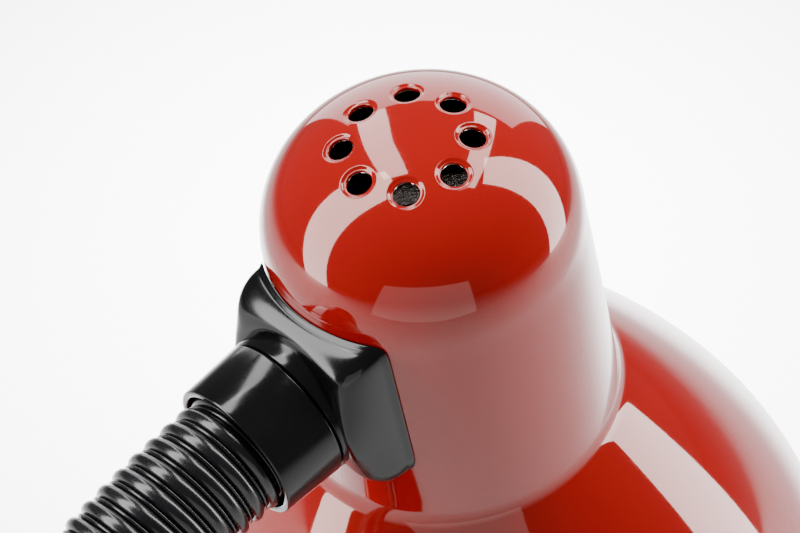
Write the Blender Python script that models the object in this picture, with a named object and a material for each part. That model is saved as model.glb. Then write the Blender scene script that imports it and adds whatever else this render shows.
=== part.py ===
"""Gooseneck desk lamp: weighted round base, flexible neck and a bell shade with a vented cap.

Row frame: metres, +Z up, origin on the desk under the middle of the base. The neck bends in the
YZ plane and carries the shade out towards -Y, which is the lamp's front.
The head has a frame of its own: an empty at the cap's shoulder, its +Z out of the top of the dome
and its +Y along the neck, away from the shade. The lamp hangs that frame HEAD_TILT off upright.
"""

import math

import bmesh
import bpy
from mathutils import Matrix, Vector

# Driving dimensions, in metres and degrees ---------------------------------------------------
GAP = 0.0003  # left between pieces that touch

# Neck: a straight foot, then one arc that ends at the head's collar
HEAD_TILT = 10.6
NECK_FOOT_Y = 0.042
NECK_FOOT_Z = 0.050
NECK_STRAIGHT = 0.090
NECK_ARC_RADIUS = 0.154
NECK_RADIUS = 0.0122
NECK_BORE = 0.0075
JOINT_COUNT = 12
BALL_RADIUS = 0.0112
CUP_CLEARANCE = 0.0007
CUP_HEIGHT = 0.0034
BARREL_END = 0.0016

# Shade: cap with a domed top, cone, fillet and bell, all one sheet
WALL = 0.0008
CAP_RADIUS = 0.0310
DOME_HEIGHT = 0.0254
DOME_POWER = 2.35
CONE_RADIUS = 0.0336
CONE_LENGTH = 0.0470
FILLET_RADIUS = 0.0090
FLARE_ANGLE = 52.0
FLARE_PULL = 0.0180
SKIRT_PULL = 0.0280
BELL_RADIUS = 0.0775
BELL_DEPTH = 0.1360
RIM_DEPTH = 0.1400
RIM_BEAD = 0.0012
VENT_COUNT = 8
VENT_CIRCLE = 0.0123
VENT_RADIUS = 0.0025

# Where the neck meets the cap, in the head's frame
SOCKET_DEPTH = 0.0161  # below the shoulder
SADDLE_TOP_HALF_WIDTH = 0.0170  # the saddle widens towards the bell
SADDLE_FOOT_HALF_WIDTH = 0.0192
SADDLE_UP = 0.0190  # from the neck's axis to the saddle's edges
SADDLE_DOWN = 0.0173
SADDLE_POWER = 14  # of the superellipse that is its outline
SADDLE_CRESCENT = 0.0030  # how much more of the round boss shows above and below than at the sides
BOSS_SHOW = 0.0010
SEAM_REACH = 0.0398  # from the cap's axis to the saddle's round end
COLLAR_REACH = 0.0531  # from the cap's axis to the collar's rim
COLLAR_BASE_RADIUS = 0.0151
COLLAR_RIM_RADIUS = 0.0145
COLLAR_BORE = 0.0131

# Threaded ferrules and their nuts
THREAD_RADIUS = 0.0050
THREAD_HOLE = 0.0054
THREAD_BORE = 0.0036
NUT_RADIUS = 0.0095  # over the corners
WASHER_RADIUS = 0.0088
FLANGE_RADIUS = 0.0115
SPIGOT_RADIUS = 0.0066

# Base
BASE_RADIUS = 0.0750
BASE_HEIGHT = 0.0280
BASE_WALL = 0.0009
BASE_EDGE_RADIUS = 0.0100
PAD_RADIUS = 0.0700
PAD_HEIGHT = 0.0020
PLATE_RADIUS = 0.0736
PLATE_THICKNESS = 0.0016
WEIGHT_RADIUS = 0.0680
WEIGHT_TOP = 0.0173
SWITCH_Y = -0.040
ROCKER_TILT = 9.0
PLATE_SCREW_CIRCLE = 0.050
INLET_Z = 0.0100

# Lamp holder and bulb: depths are below the cap's shoulder, along the head's axis
BRACKET_DEPTH = 0.0298
NIPPLE_TOP = 0.0250
NIPPLE_END = 0.0365
HOLDER_TOP = 0.0318
HOLDER_SEAM = 0.0460
HOLDER_MOUTH = 0.0760
HOLDER_RADIUS = 0.0200
BULB_TIP = 0.0516
BULB_SHELL_TOP = 0.0560
BULB_SHELL_END = 0.0740
BULB_SHELL_RADIUS = 0.0131
BULB_SHELL_WALL = 0.0006
BULB_GLOBE_RADIUS = 0.0225
BULB_END = 0.1296

ROUND_SMALL = 16  # sides of nuts' bores, screws and other small turned pieces
ROUND = 24  # sides of a middling turned piece
ROUND_FINE = 36
SADDLE_SIDES = 32  # sides of a large one


# Scene and materials --------------------------------------------------------------------------
def clear_scene():
    for obj in list(bpy.data.objects):
        bpy.data.objects.remove(obj)


def finish(name, colour, roughness, metallic=0.0):
    """A plain Principled material."""
    made = bpy.data.materials.new(name)
    made.use_nodes = True
    shader = made.node_tree.nodes["Principled BSDF"]
    shader.inputs["Base Color"].default_value = (*colour, 1.0)
    shader.inputs["Roughness"].default_value = roughness
    shader.inputs["Metallic"].default_value = metallic
    return made


def make_finishes():
    return {
        "red_enamel": finish("red_enamel", (0.55, 0.02, 0.015), 0.12),
        "black_gloss": finish("black_gloss", (0.012, 0.012, 0.013), 0.18),
        "black_matt": finish("black_matt", (0.02, 0.02, 0.02), 0.6),
        "neck_steel": finish("neck_steel", (0.02, 0.02, 0.022), 0.3, 0.6),
        "zinc": finish("zinc", (0.62, 0.62, 0.6), 0.35, 1.0),
        "brass": finish("brass", (0.7, 0.5, 0.2), 0.3, 1.0),
        "nickel": finish("nickel", (0.66, 0.63, 0.58), 0.25, 1.0),
        "iron": finish("iron", (0.1, 0.1, 0.1), 0.7, 0.8),
        "foam": finish("foam", (0.03, 0.03, 0.03), 0.95),
        "ceramic": finish("ceramic", (0.8, 0.78, 0.73), 0.4),
        "white_plastic": finish("white_plastic", (0.75, 0.75, 0.72), 0.4),
        "glass": finish("glass", (0.9, 0.9, 0.88), 0.1),
        "lead_sheath": finish("lead_sheath", (0.7, 0.7, 0.7), 0.5),
    }


def empty_at(name, matrix):
    """A frame that pieces are parented to."""
    made = bpy.data.objects.new(name, None)
    bpy.context.scene.collection.objects.link(made)
    made.matrix_world = matrix
    return made


def object_of(name, mesh, material=None, parent=None):
    made = bpy.data.objects.new(name, mesh)
    bpy.context.scene.collection.objects.link(made)
    if material:
        mesh.materials.append(material)
    made.parent = parent
    return made


def as_mesh(name, shape, smooth=True):
    """A bmesh as a mesh, with its normals out and its round sides smooth."""
    bmesh.ops.recalc_face_normals(shape, faces=shape.faces)
    mesh = bpy.data.meshes.new(name)
    shape.to_mesh(mesh)
    shape.free()
    if smooth:
        mesh.shade_smooth()
        mesh.set_sharp_from_angle(angle=math.radians(35))
    return mesh


# Shapes ---------------------------------------------------------------------------------------
def turned(name, profile, material=None, parent=None, sides=ROUND):
    """A piece turned about Z from (radius, height) points. A profile that starts and ends on the
    axis is left open there, and any other is closed."""
    shape = bmesh.new()
    points = [shape.verts.new((radius, 0, height)) for radius, height in profile]
    edges = [shape.edges.new(pair) for pair in zip(points, points[1:])]
    if profile[0][0] > 0:
        edges.append(shape.edges.new((points[-1], points[0])))
    bmesh.ops.spin(
        shape, geom=points + edges, angle=2 * math.pi, steps=sides, axis=(0, 0, 1), cent=(0, 0, 0)
    )
    bmesh.ops.remove_doubles(shape, verts=shape.verts, dist=1e-6)
    return object_of(name, as_mesh(name, shape), material, parent)


def tube_profile(outer, inner, low, high):
    return [(outer, low), (outer, high), (inner, high), (inner, low)]


def prism(name, outline, low, high, material=None, parent=None):
    """An (x, y) outline drawn up from low to high."""
    shape = bmesh.new()
    face = shape.faces.new([shape.verts.new((x, y, low)) for x, y in outline])
    grown = bmesh.ops.extrude_face_region(shape, geom=[face])["geom"]
    moved = [item for item in grown if isinstance(item, bmesh.types.BMVert)]
    bmesh.ops.translate(shape, vec=(0, 0, high - low), verts=moved)
    return object_of(name, as_mesh(name, shape, smooth=False), material, parent)


def rectangle(x_low, x_high, y_low, y_high):
    return [(x_low, y_low), (x_high, y_low), (x_high, y_high), (x_low, y_high)]


def circle(radius, sides, turn=0.0):
    angles = [turn + 2 * math.pi * i / sides for i in range(sides)]
    return [(radius * math.cos(angle), radius * math.sin(angle)) for angle in angles]


def lofted(name, loops, material=None, parent=None):
    """A solid ring of loops, each joined to the next and the last to the first."""
    shape = bmesh.new()
    rows = [[shape.verts.new(point) for point in loop] for loop in loops]
    for row, following in zip(rows, rows[1:] + rows[:1]):
        for i, corner in enumerate(row):
            beside = (i + 1) % len(row)
            shape.faces.new((corner, row[beside], following[beside], following[i]))
    return object_of(name, as_mesh(name, shape), material, parent)


def hidden(obj):
    """Marks a cutter or a shape that is joined on."""
    obj.hide_render = True
    obj.display_type = "WIRE"
    return obj


def boolean(target, other, operation):
    step = target.modifiers.new(f"{operation.lower()}_{other.name}", "BOOLEAN")
    step.operation = operation
    step.solver = "EXACT"
    step.object = hidden(other)


def cut(target, other):
    boolean(target, other, "DIFFERENCE")


def join(target, other):
    boolean(target, other, "UNION")


def drill(target, radius, start, end, parent=None, sides=ROUND_SMALL):
    """A round hole through target from start to end."""
    start, end = Vector(start), Vector(end)
    tool = prism(f"{target.name}_drill", circle(radius, sides), 0, (end - start).length, parent=parent)
    turn = (end - start).to_track_quat("Z", "Y").to_matrix().to_4x4()
    tool.data.transform(Matrix.Translation(start) @ turn)
    cut(target, tool)


def swept(name, points, radius, material, parent=None, resolution=2):
    """A round lead along smooth points."""
    curve = bpy.data.curves.new(name, "CURVE")
    curve.dimensions = "3D"
    curve.bevel_depth = radius
    curve.bevel_resolution = resolution
    curve.use_fill_caps = True
    spline = curve.splines.new("POLY")
    spline.points.add(len(points) - 1)
    for slot, point in zip(spline.points, points):
        slot.co = (*point, 1.0)
    return object_of(name, curve, material, parent)


def smooth_route(marks, spacing):
    """Points every spacing or so on a Catmull-Rom curve through marks."""
    ends = [2 * marks[0] - marks[1], *marks, 2 * marks[-1] - marks[-2]]
    found = []
    for before, start, end, after in zip(ends, ends[1:], ends[2:], ends[3:]):
        count = max(1, round((end - start).length / spacing))
        for i in range(count):
            t = i / count
            found.append(
                0.5
                * (
                    2 * start
                    + (end - before) * t
                    + (2 * before - 5 * start + 4 * end - after) * t * t
                    + (3 * start - before - 3 * end + after) * t**3
                )
            )
    return [*found, marks[-1]]


# The neck's line and the head's frame ---------------------------------------------------------
ARC_ANGLE = math.radians(90 - HEAD_TILT)
NECK_LENGTH = NECK_STRAIGHT + NECK_ARC_RADIUS * ARC_ANGLE
JOINT_SPACING = NECK_LENGTH / JOINT_COUNT


def neck_point(s):
    """(point, direction) on the neck's centre line, s along it from the foot collar's rim."""
    turn = min(max((s - NECK_STRAIGHT) / NECK_ARC_RADIUS, 0.0), ARC_ANGLE)
    rise = min(s, NECK_STRAIGHT)
    past = max(s - NECK_LENGTH, 0.0)
    direction = Vector((0, -math.sin(turn), math.cos(turn)))
    point = Vector(
        (
            0,
            NECK_FOOT_Y - NECK_ARC_RADIUS * (1 - math.cos(turn)),
            NECK_FOOT_Z + rise + NECK_ARC_RADIUS * math.sin(turn),
        )
    )
    return point + direction * past, direction


def head_matrix():
    """From the head's frame, at the cap's shoulder, to the row frame."""
    turn = Matrix.Rotation(math.radians(-HEAD_TILT), 4, "X")
    rim, _ = neck_point(NECK_LENGTH)
    return Matrix.Translation(rim) @ turn @ Matrix.Translation((0, -COLLAR_REACH, SOCKET_DEPTH))


def along_neck_axis():
    """From a frame whose +Z is the neck's axis at the head, from the cap's axis outwards."""
    return Matrix.Translation((0, 0, -SOCKET_DEPTH)) @ Matrix.Rotation(math.radians(-90), 4, "X")


def joint_place(k):
    """(point, direction) of the neck's joint k."""
    return neck_point((k + 0.5) * JOINT_SPACING)


def ring_at(centre, direction, radius, sides=ROUND_SMALL):
    """A loop of points round the neck's centre line."""
    across = Vector((1, 0, 0))
    up = direction.cross(across)
    angles = [2 * math.pi * i / sides for i in range(sides)]
    return [centre + radius * (math.cos(a) * across + math.sin(a) * up) for a in angles]


def ball_end(k):
    """Loops of the ball about joint k, from the barrel inwards to the bore."""
    centre, direction = joint_place(k)
    loops = [
        ring_at(centre - direction * BARREL_END, direction, NECK_RADIUS),
        ring_at(centre - direction * 0.0008, direction, BALL_RADIUS),
    ]
    top = math.acos(NECK_BORE / BALL_RADIUS)
    for share in (0.5, 1.0):
        height = BALL_RADIUS * math.sin(top * share)
        radius = BALL_RADIUS * math.cos(top * share)
        loops.append(ring_at(centre + direction * height, direction, radius))
    return loops


def cup_end(k):
    """Loops of the cup over the ball of joint k, from the bore outwards to the barrel."""
    centre, direction = joint_place(k)
    radius = BALL_RADIUS + CUP_CLEARANCE
    top = math.acos(NECK_BORE / radius)
    low = math.asin(CUP_HEIGHT / radius)
    loops = []
    for share in (1.0, 0.5, 0.0):
        angle = low + (top - low) * share
        loops.append(
            ring_at(centre + direction * radius * math.sin(angle), direction, radius * math.cos(angle))
        )
    loops.append(ring_at(centre + direction * CUP_HEIGHT, direction, NECK_RADIUS))
    return loops


def neck_links(finishes):
    """The neck between its two ends, one link from each joint to the next."""
    for k in range(JOINT_COUNT - 1):
        middle, direction = neck_point((k + 1) * JOINT_SPACING)
        loops = [
            *cup_end(k),
            ring_at(middle, direction, NECK_RADIUS),
            *ball_end(k + 1),
            ring_at(middle, direction, NECK_BORE),
        ]
        lofted(f"neck_link_{k + 1:02d}", loops, finishes["neck_steel"])


def neck_ends(finishes):
    """The neck's stub in the foot collar, and the one in the head's collar."""
    root_low = Vector((0, NECK_FOOT_Y, FERRULE_TOP + GAP))
    up = Vector((0, 0, 1))
    loops = [
        ring_at(root_low, up, NECK_RADIUS),
        *ball_end(0),
        ring_at(root_low, up, NECK_BORE),
    ]
    lofted("neck_root", loops, finishes["neck_steel"])
    rim, direction = neck_point(NECK_LENGTH)
    end = rim + direction * (COLLAR_REACH - HEAD_FLANGE_OUT - GAP)
    loops = [
        *cup_end(JOINT_COUNT - 1),
        ring_at(end, direction, NECK_RADIUS),
        ring_at(end, direction, NECK_BORE),
    ]
    lofted("neck_tip", loops, finishes["neck_steel"])


# Base -----------------------------------------------------------------------------------------
PLATE_LOW = PAD_HEIGHT + GAP
PLATE_TOP = PLATE_LOW + PLATE_THICKNESS
WEIGHT_LOW = PLATE_TOP + GAP
SHELL_UNDER = BASE_HEIGHT - BASE_WALL
BOSS_TOP = SHELL_UNDER - GAP
NUT_POCKET = 0.0182
FOOT_FLANGE_LOW = BASE_HEIGHT + GAP
FOOT_FLOOR = FOOT_FLANGE_LOW + 0.0027
FERRULE_LOW = FOOT_FLOOR + GAP
FERRULE_TOP = FERRULE_LOW + 0.0024
BLOCK_Y = (-0.0040, 0.0120)
LEAD_Z = 0.0078


def base_shell(finishes):
    """The pressed steel cover, a puck with a rolled top edge."""
    low = PAD_HEIGHT - 0.0008
    steps = 3
    outer = [(BASE_RADIUS, low)]
    inner = [(BASE_RADIUS - BASE_WALL, low)]
    corner = BASE_RADIUS - BASE_EDGE_RADIUS
    level = BASE_HEIGHT - BASE_EDGE_RADIUS
    for i in range(steps + 1):
        angle = math.pi / 2 * i / steps
        for side, radius in ((outer, BASE_EDGE_RADIUS), (inner, BASE_EDGE_RADIUS - BASE_WALL)):
            side.append((corner + radius * math.cos(angle), level + radius * math.sin(angle)))
    profile = [(0, BASE_HEIGHT), *reversed(outer), *inner, (0, SHELL_UNDER)]
    shell = turned("base_shell", profile, finishes["red_enamel"], sides=ROUND_FINE)
    drill(shell, THREAD_HOLE, (0, NECK_FOOT_Y, 0.02), (0, NECK_FOOT_Y, 0.04))
    cut(
        shell,
        prism("switch_hole", rectangle(-0.0067, 0.0067, SWITCH_Y - 0.0098, SWITCH_Y + 0.0098), 0.02, 0.04),
    )
    drill(shell, 0.0046, (0, 0.060, INLET_Z), (0, 0.090, INLET_Z))


def base_weight(finishes):
    """The cast iron weight: it has a boss under the neck, a well for the switch and the terminal
    block, a pocket for the nut, and channels for the leads."""
    weight = turned(
        "base_weight",
        [(0, WEIGHT_LOW), (WEIGHT_RADIUS, WEIGHT_LOW), (WEIGHT_RADIUS, WEIGHT_TOP - 0.002),
         (WEIGHT_RADIUS - 0.002, WEIGHT_TOP), (0, WEIGHT_TOP)],
        finishes["iron"],
        sides=ROUND_FINE,
    )
    boss = turned("weight_boss", [(0, WEIGHT_TOP - 0.006), (0.015, WEIGHT_TOP - 0.006),
                                  (0.014, BOSS_TOP), (0, BOSS_TOP)], sides=ROUND_SMALL)
    boss.location = (0, NECK_FOOT_Y, 0)
    join(weight, boss)
    cut(weight, prism("switch_well", rectangle(-0.018, 0.018, -0.056, 0.018), 0, WEIGHT_TOP + 0.002))
    pocket = prism("nut_pocket", circle(0.0125, 24), 0, NUT_POCKET)
    pocket.location = (0, NECK_FOOT_Y, 0)
    cut(weight, pocket)
    cut(weight, prism("lead_channel", rectangle(-0.004, 0.004, 0.010, NECK_FOOT_Y), 0, 0.0110))
    cut(weight, prism("inlet_channel", rectangle(-0.007, 0.007, NECK_FOOT_Y, 0.080), 0, INLET_Z + 0.0070))
    for x, y in plate_screw_places():
        drill(weight, 0.0023, (x, y, 0.001), (x, y, WEIGHT_LOW + 0.0085), sides=10)
    drill(weight, THREAD_HOLE, (0, NECK_FOOT_Y, 0.001), (0, NECK_FOOT_Y, 0.04))


def plate_screw_places():
    angles = [math.radians(a) for a in (180, 0, 118)]
    return [(PLATE_SCREW_CIRCLE * math.cos(a), PLATE_SCREW_CIRCLE * math.sin(a)) for a in angles]


def base_plate(finishes):
    """The bottom plate with its countersunk screws, and the foam pad stuck under it."""
    turned("base_pad", [(0, 0), (PAD_RADIUS, 0), (PAD_RADIUS, PAD_HEIGHT), (0, PAD_HEIGHT)],
           finishes["foam"], sides=ROUND_FINE)
    plate = turned("base_plate", [(0, PLATE_LOW), (PLATE_RADIUS, PLATE_LOW), (PLATE_RADIUS, PLATE_TOP),
                                  (0, PLATE_TOP)], finishes["black_matt"], sides=ROUND_FINE)
    head, shank = 0.0036, 0.0020
    sink = PLATE_LOW + PLATE_THICKNESS
    for number, (x, y) in enumerate(plate_screw_places(), 1):
        bore = shank + GAP
        profile = [(0, PLATE_LOW - 0.001), (head + 0.0014, PLATE_LOW - 0.001), (bore, sink + 0.0002),
                   (bore, sink + 0.001), (0, sink + 0.001)]
        hole = turned(f"plate_sink_{number}", profile, sides=ROUND_SMALL)
        hole.location = (x, y, 0)
        cut(plate, hole)
        screw = turned(f"plate_screw_{number}", [(0, PLATE_LOW), (head, PLATE_LOW), (shank, sink - 0.0001),
                                                 (shank, WEIGHT_LOW + 0.0070), (0, WEIGHT_LOW + 0.0078)],
                       finishes["zinc"], sides=16)
        screw.location = (x, y, 0)


def rocker_switch(finishes):
    """The switch in the base's top: a housing with two tabs, and the rocker on its pins."""
    body_low, bezel_top = 0.0140, BASE_HEIGHT + 0.0019
    pivot_z = bezel_top - 0.0020
    housing = prism("switch_housing", rectangle(-0.0075, 0.0075, SWITCH_Y - 0.0105, SWITCH_Y + 0.0105),
                    BASE_HEIGHT + GAP, bezel_top, finishes["black_gloss"])
    join(housing, prism("switch_body", rectangle(-0.0064, 0.0064, SWITCH_Y - 0.0095, SWITCH_Y + 0.0095),
                        body_low, BASE_HEIGHT + 0.001))
    cut(housing, prism("switch_cavity", rectangle(-0.0054, 0.0054, SWITCH_Y - 0.0086, SWITCH_Y + 0.0086),
                       0.0185, bezel_top + 0.001))
    pin_z = pivot_z - 0.0022
    drill(housing, 0.0013, (-0.0070, SWITCH_Y, pin_z), (0.0070, SWITCH_Y, pin_z), sides=12)

    pivot = empty_at("rocker_pivot", Matrix.Translation((0, SWITCH_Y, pin_z)))
    pivot.rotation_euler = (math.radians(ROCKER_TILT), 0, 0)
    reach, depth = 0.0079, 0.0070
    # The side view of the rocker: a round belly under two shallow slopes that meet in a valley.
    belly = [(reach * math.cos(a), depth * math.sin(a)) for a in
             [math.radians(-180 + 180 * i / 12) for i in range(13)]]
    side = [*belly, (reach, 0.0044), (0.0, 0.0030), (-reach, 0.0044)]
    rocker = prism("switch_rocker", side, -0.0051, 0.0051, finishes["black_gloss"], pivot)
    turn = Matrix(((0, 0, 1, 0), (1, 0, 0, 0), (0, 1, 0, 0), (0, 0, 0, 1)))
    rocker.data.transform(turn)
    pin = prism("rocker_pins", circle(0.0010, 12), -0.0062, 0.0062, parent=pivot)
    pin.data.transform(turn)
    join(rocker, pin)

    for number, x in ((1, -0.0038), (2, 0.0038)):
        prism(f"switch_tab_{number}", rectangle(x - 0.0004, x + 0.0004, SWITCH_Y - 0.0024, SWITCH_Y + 0.0024),
              0.0072, body_low - GAP, finishes["brass"])


def terminal_block(finishes):
    """A two pole block on the bottom plate, where the mains lead, switch and lamp lead meet."""
    low, high = WEIGHT_LOW, 0.0153
    plan = rectangle(-0.0110, 0.0110, *BLOCK_Y)
    block = prism("terminal_block", plan, low, high, finishes["white_plastic"])
    middle = sum(BLOCK_Y) / 2
    for number, x in ((1, -0.0055), (2, 0.0055)):
        drill(block, 0.0023, (x, middle, high - 0.0035), (x, middle, high + 0.001), sides=14)
        screw = turned(f"terminal_screw_{number}", [(0, high - 0.0032), (0.0019, high - 0.0032),
                                                    (0.0019, high - 0.0014), (0, high - 0.0014)],
                       finishes["zinc"], sides=14)
        screw.location = (x, middle, 0)


def cord_inlet(finishes):
    """The bush in the base's back wall that a mains lead comes in by."""
    bush = turned("cord_inlet_bush", [
        (0.0034, 0.0690), (0.0056, 0.0690), (0.0060, 0.0730), (0.0042, 0.0733), (0.0042, 0.0754),
        (0.0066, 0.0754), (0.0062, 0.0775), (0.0046, 0.0800), (0.0034, 0.0800)],
        finishes["black_matt"], sides=ROUND_SMALL)
    bush.location = (0, 0, INLET_Z)
    bush.rotation_euler = (math.radians(-90), 0, 0)


def foot_fittings(finishes):
    """The collar on the base, and the ferrule, washer and nut that hold neck, cover and weight."""
    rim = NECK_FOOT_Z
    frame = empty_at("neck_foot", Matrix.Translation((0, NECK_FOOT_Y, 0)))
    turned("foot_collar", [
        (THREAD_HOLE, FOOT_FLANGE_LOW), (0.0190, FOOT_FLANGE_LOW), (0.0190, FOOT_FLANGE_LOW + 0.0016),
        (0.0176, FOOT_FLANGE_LOW + 0.0026), (0.0160, FOOT_FLANGE_LOW + 0.0040),
        (COLLAR_BASE_RADIUS, FOOT_FLANGE_LOW + 0.0068), (COLLAR_RIM_RADIUS, rim - 0.0003),
        (COLLAR_RIM_RADIUS - 0.0003, rim), (COLLAR_BORE, rim), (COLLAR_BORE, FOOT_FLOOR),
        (THREAD_HOLE, FOOT_FLOOR)], finishes["black_gloss"], frame)
    turned("foot_ferrule", [
        (THREAD_BORE, 0.0120), (THREAD_RADIUS, 0.0120), (THREAD_RADIUS, FERRULE_LOW),
        (FLANGE_RADIUS, FERRULE_LOW), (FLANGE_RADIUS, FERRULE_TOP), (SPIGOT_RADIUS, FERRULE_TOP),
        (SPIGOT_RADIUS, FERRULE_TOP + 0.0090), (THREAD_BORE, FERRULE_TOP + 0.0090)],
        finishes["zinc"], frame, sides=ROUND_SMALL)
    washer_top = NUT_POCKET - GAP
    turned("foot_washer", tube_profile(WASHER_RADIUS, THREAD_HOLE, washer_top - 0.0011, washer_top),
           finishes["zinc"], frame, sides=ROUND_SMALL)
    nut_top = washer_top - 0.0011 - GAP
    hex_nut("foot_nut", nut_top - 0.0038, nut_top, finishes["zinc"], frame)


def hex_nut(name, low, high, material, parent):
    nut = prism(name, circle(NUT_RADIUS, 6), low, high, material, parent)
    bore = prism(f"{name}_bore", circle(THREAD_HOLE, 24), low - 0.001, high + 0.001, parent=parent)
    cut(nut, bore)
    return nut


# Head -----------------------------------------------------------------------------------------
HEAD_FLANGE_IN = 0.0416  # the ferrule's flange, from the cap's axis
HEAD_FLANGE_OUT = 0.0440
SHIM_FLAT = 0.0288
BRACKET_WALL = 0.0015
NUT_REACH = 0.0213


def cone_radius(depth):
    """The cap's outer radius at a depth below its shoulder."""
    return CAP_RADIUS + (CONE_RADIUS - CAP_RADIUS) * depth / CONE_LENGTH


def shade_outline():
    """The shade's outer (radius, height) line, from the top of the dome to the rim."""
    points = []
    for i in range(7):
        angle = math.radians(90 - 90 * i / 6)
        radius = CAP_RADIUS * max(math.cos(angle), 0.0) ** (2 / DOME_POWER)
        points.append((radius if i else 0.0, DOME_HEIGHT * math.sin(angle) ** (2 / DOME_POWER)))
    points.append((cone_radius(0.023), -0.023))
    lean = math.atan2(CONE_RADIUS - CAP_RADIUS, CONE_LENGTH)
    turn = math.radians(90 - FLARE_ANGLE) - lean
    middle_r = CONE_RADIUS + FILLET_RADIUS * math.cos(lean)
    middle_z = -CONE_LENGTH + FILLET_RADIUS * math.sin(lean)
    for i in range(4):
        angle = math.pi + lean + turn * i / 3
        radius = middle_r + FILLET_RADIUS * math.cos(angle)
        points.append((radius, middle_z + FILLET_RADIUS * math.sin(angle)))
    points += bell_curve(points[-1])
    return points


def bell_curve(start):
    """A cubic curve from the fillet to the upright skirt, and the skirt's end."""
    flare = math.radians(FLARE_ANGLE)
    controls = [
        start,
        (start[0] + FLARE_PULL * math.cos(flare), start[1] - FLARE_PULL * math.sin(flare)),
        (BELL_RADIUS, SKIRT_PULL - BELL_DEPTH),
        (BELL_RADIUS, -BELL_DEPTH),
    ]
    points = []
    for i in range(1, 7):
        t = i / 6
        shares = ((1 - t) ** 3, 3 * (1 - t) ** 2 * t, 3 * (1 - t) * t**2, t**3)
        points.append(tuple(sum(w * c[axis] for w, c in zip(shares, controls)) for axis in (0, 1)))
    return points


def inset(points, distance):
    """An open (radius, height) line moved in by distance, square to itself."""
    moved = []
    for i, (radius, height) in enumerate(points):
        before, after = points[max(i - 1, 0)], points[min(i + 1, len(points) - 1)]
        run, drop = after[0] - before[0], after[1] - before[1]
        length = math.hypot(run, drop)
        x = 0.0 if i == 0 else radius + drop / length * distance
        moved.append((x, height - (distance if i == 0 else run / length * distance)))
    return moved


def shade(finishes, head):
    """One pressed sheet, with a bead round its rim, vents in the dome and the neck's hole."""
    outer = shade_outline()
    inner = inset(outer, WALL)
    bead_middle = -RIM_DEPTH + RIM_BEAD
    bead = [
        (BELL_RADIUS + RIM_BEAD, bead_middle + RIM_BEAD),
        (BELL_RADIUS + RIM_BEAD * 1.4, bead_middle),
        (BELL_RADIUS + RIM_BEAD * 0.6, -RIM_DEPTH),
        (BELL_RADIUS - WALL, -RIM_DEPTH + 0.0004),
    ]
    made = turned("shade", [*outer, *bead, *reversed(inner)], finishes["red_enamel"], head, sides=ROUND_FINE)
    for i in range(VENT_COUNT):
        angle = 2 * math.pi * (i + 0.25 * VENT_COUNT) / VENT_COUNT
        x, y = VENT_CIRCLE * math.cos(angle), VENT_CIRCLE * math.sin(angle)
        # Square to the dome, which falls away 1 in 4 at the vents.
        lean = Vector((x, y, 0)).normalized() * 0.25 + Vector((0, 0, 1))
        middle = Vector((x, y, DOME_HEIGHT * 0.93))
        drill(made, VENT_RADIUS, middle - lean * 0.008, middle + lean * 0.008, head, sides=12)
    drill(made, THREAD_HOLE, (0, 0.024, -SOCKET_DEPTH), (0, 0.040, -SOCKET_DEPTH), head)


def on_cap(x, z, lift):
    """The point of the cap's outside at (x, z), lift out from it."""
    radius = cone_radius(-z) + lift
    return Vector((x, math.sqrt(radius * radius - x * x), z))


def squared_circle(angle, power):
    """A unit superellipse: a circle at power 2, a square as the power grows."""
    c, s = math.cos(angle), math.sin(angle)
    reach = (abs(c) ** power + abs(s) ** power) ** (-1 / power)
    return reach * c, reach * s


def saddle_outline(share):
    """Loop of the saddle's back on the cap: a circle round the hole at share 0, the whole
    outline at share 1."""
    loop = []
    for i in range(SADDLE_SIDES):
        x, z = squared_circle(2 * math.pi * (i + 0.5) / SADDLE_SIDES, 2 + (SADDLE_POWER - 2) * share)
        height = z * (SADDLE_UP if z > 0 else SADDLE_DOWN)
        down = (SADDLE_UP - height) / (SADDLE_UP + SADDLE_DOWN)
        width = SADDLE_TOP_HALF_WIDTH + (SADDLE_FOOT_HALF_WIDTH - SADDLE_TOP_HALF_WIDTH) * down
        spread = THREAD_HOLE + (width - THREAD_HOLE) * share
        rise = z * THREAD_HOLE * (1 - share) + height * share
        loop.append((x * spread, rise - SOCKET_DEPTH))
    return loop


def saddle(finishes, head):
    """The black moulding between cap and collar: square where it sits on the cap, with sharp
    corners, and a round boss at the collar."""
    angles = [2 * math.pi * (i + 0.5) / SADDLE_SIDES for i in range(SADDLE_SIDES)]
    seam = SEAM_REACH - GAP
    chamfer = 0.0005

    def body_loop(share):
        """Between the boss, share 0, and the cap, share 1. It leaves the boss nearly square to
        the neck's axis and rounds over."""
        loop = []
        spread = math.sin(math.pi / 2 * share) ** 0.87
        drop = 1 - math.cos(math.pi / 2 * share) ** 0.91
        for angle, (x, z) in zip(angles, saddle_outline(1.0)):
            foot = on_cap(x, z, 0.0012)
            start_y = seam - BOSS_SHOW - SADDLE_CRESCENT * math.sin(angle) ** 2
            start = Vector((COLLAR_BASE_RADIUS * math.cos(angle), start_y,
                            COLLAR_BASE_RADIUS * math.sin(angle) - SOCKET_DEPTH))
            loop.append(Vector((start.x + (foot.x - start.x) * spread, start.y + (foot.y - start.y) * drop,
                                start.z + (foot.z - start.z) * spread)))
        return loop

    def round_loop(radius, y):
        return [Vector((radius * math.cos(a), y, radius * math.sin(a) - SOCKET_DEPTH)) for a in angles]

    loops = [[on_cap(x, z, GAP) for x, z in saddle_outline(share)] for share in (0.0, 0.5, 1.0)]
    loops += [body_loop(share) for share in (1.0, 0.72, 0.46, 0.22, 0.0)]
    loops += [round_loop(COLLAR_BASE_RADIUS, seam - chamfer), round_loop(COLLAR_BASE_RADIUS - chamfer, seam),
              round_loop(THREAD_HOLE, seam)]
    lofted("saddle", loops, finishes["black_gloss"], head)


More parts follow.
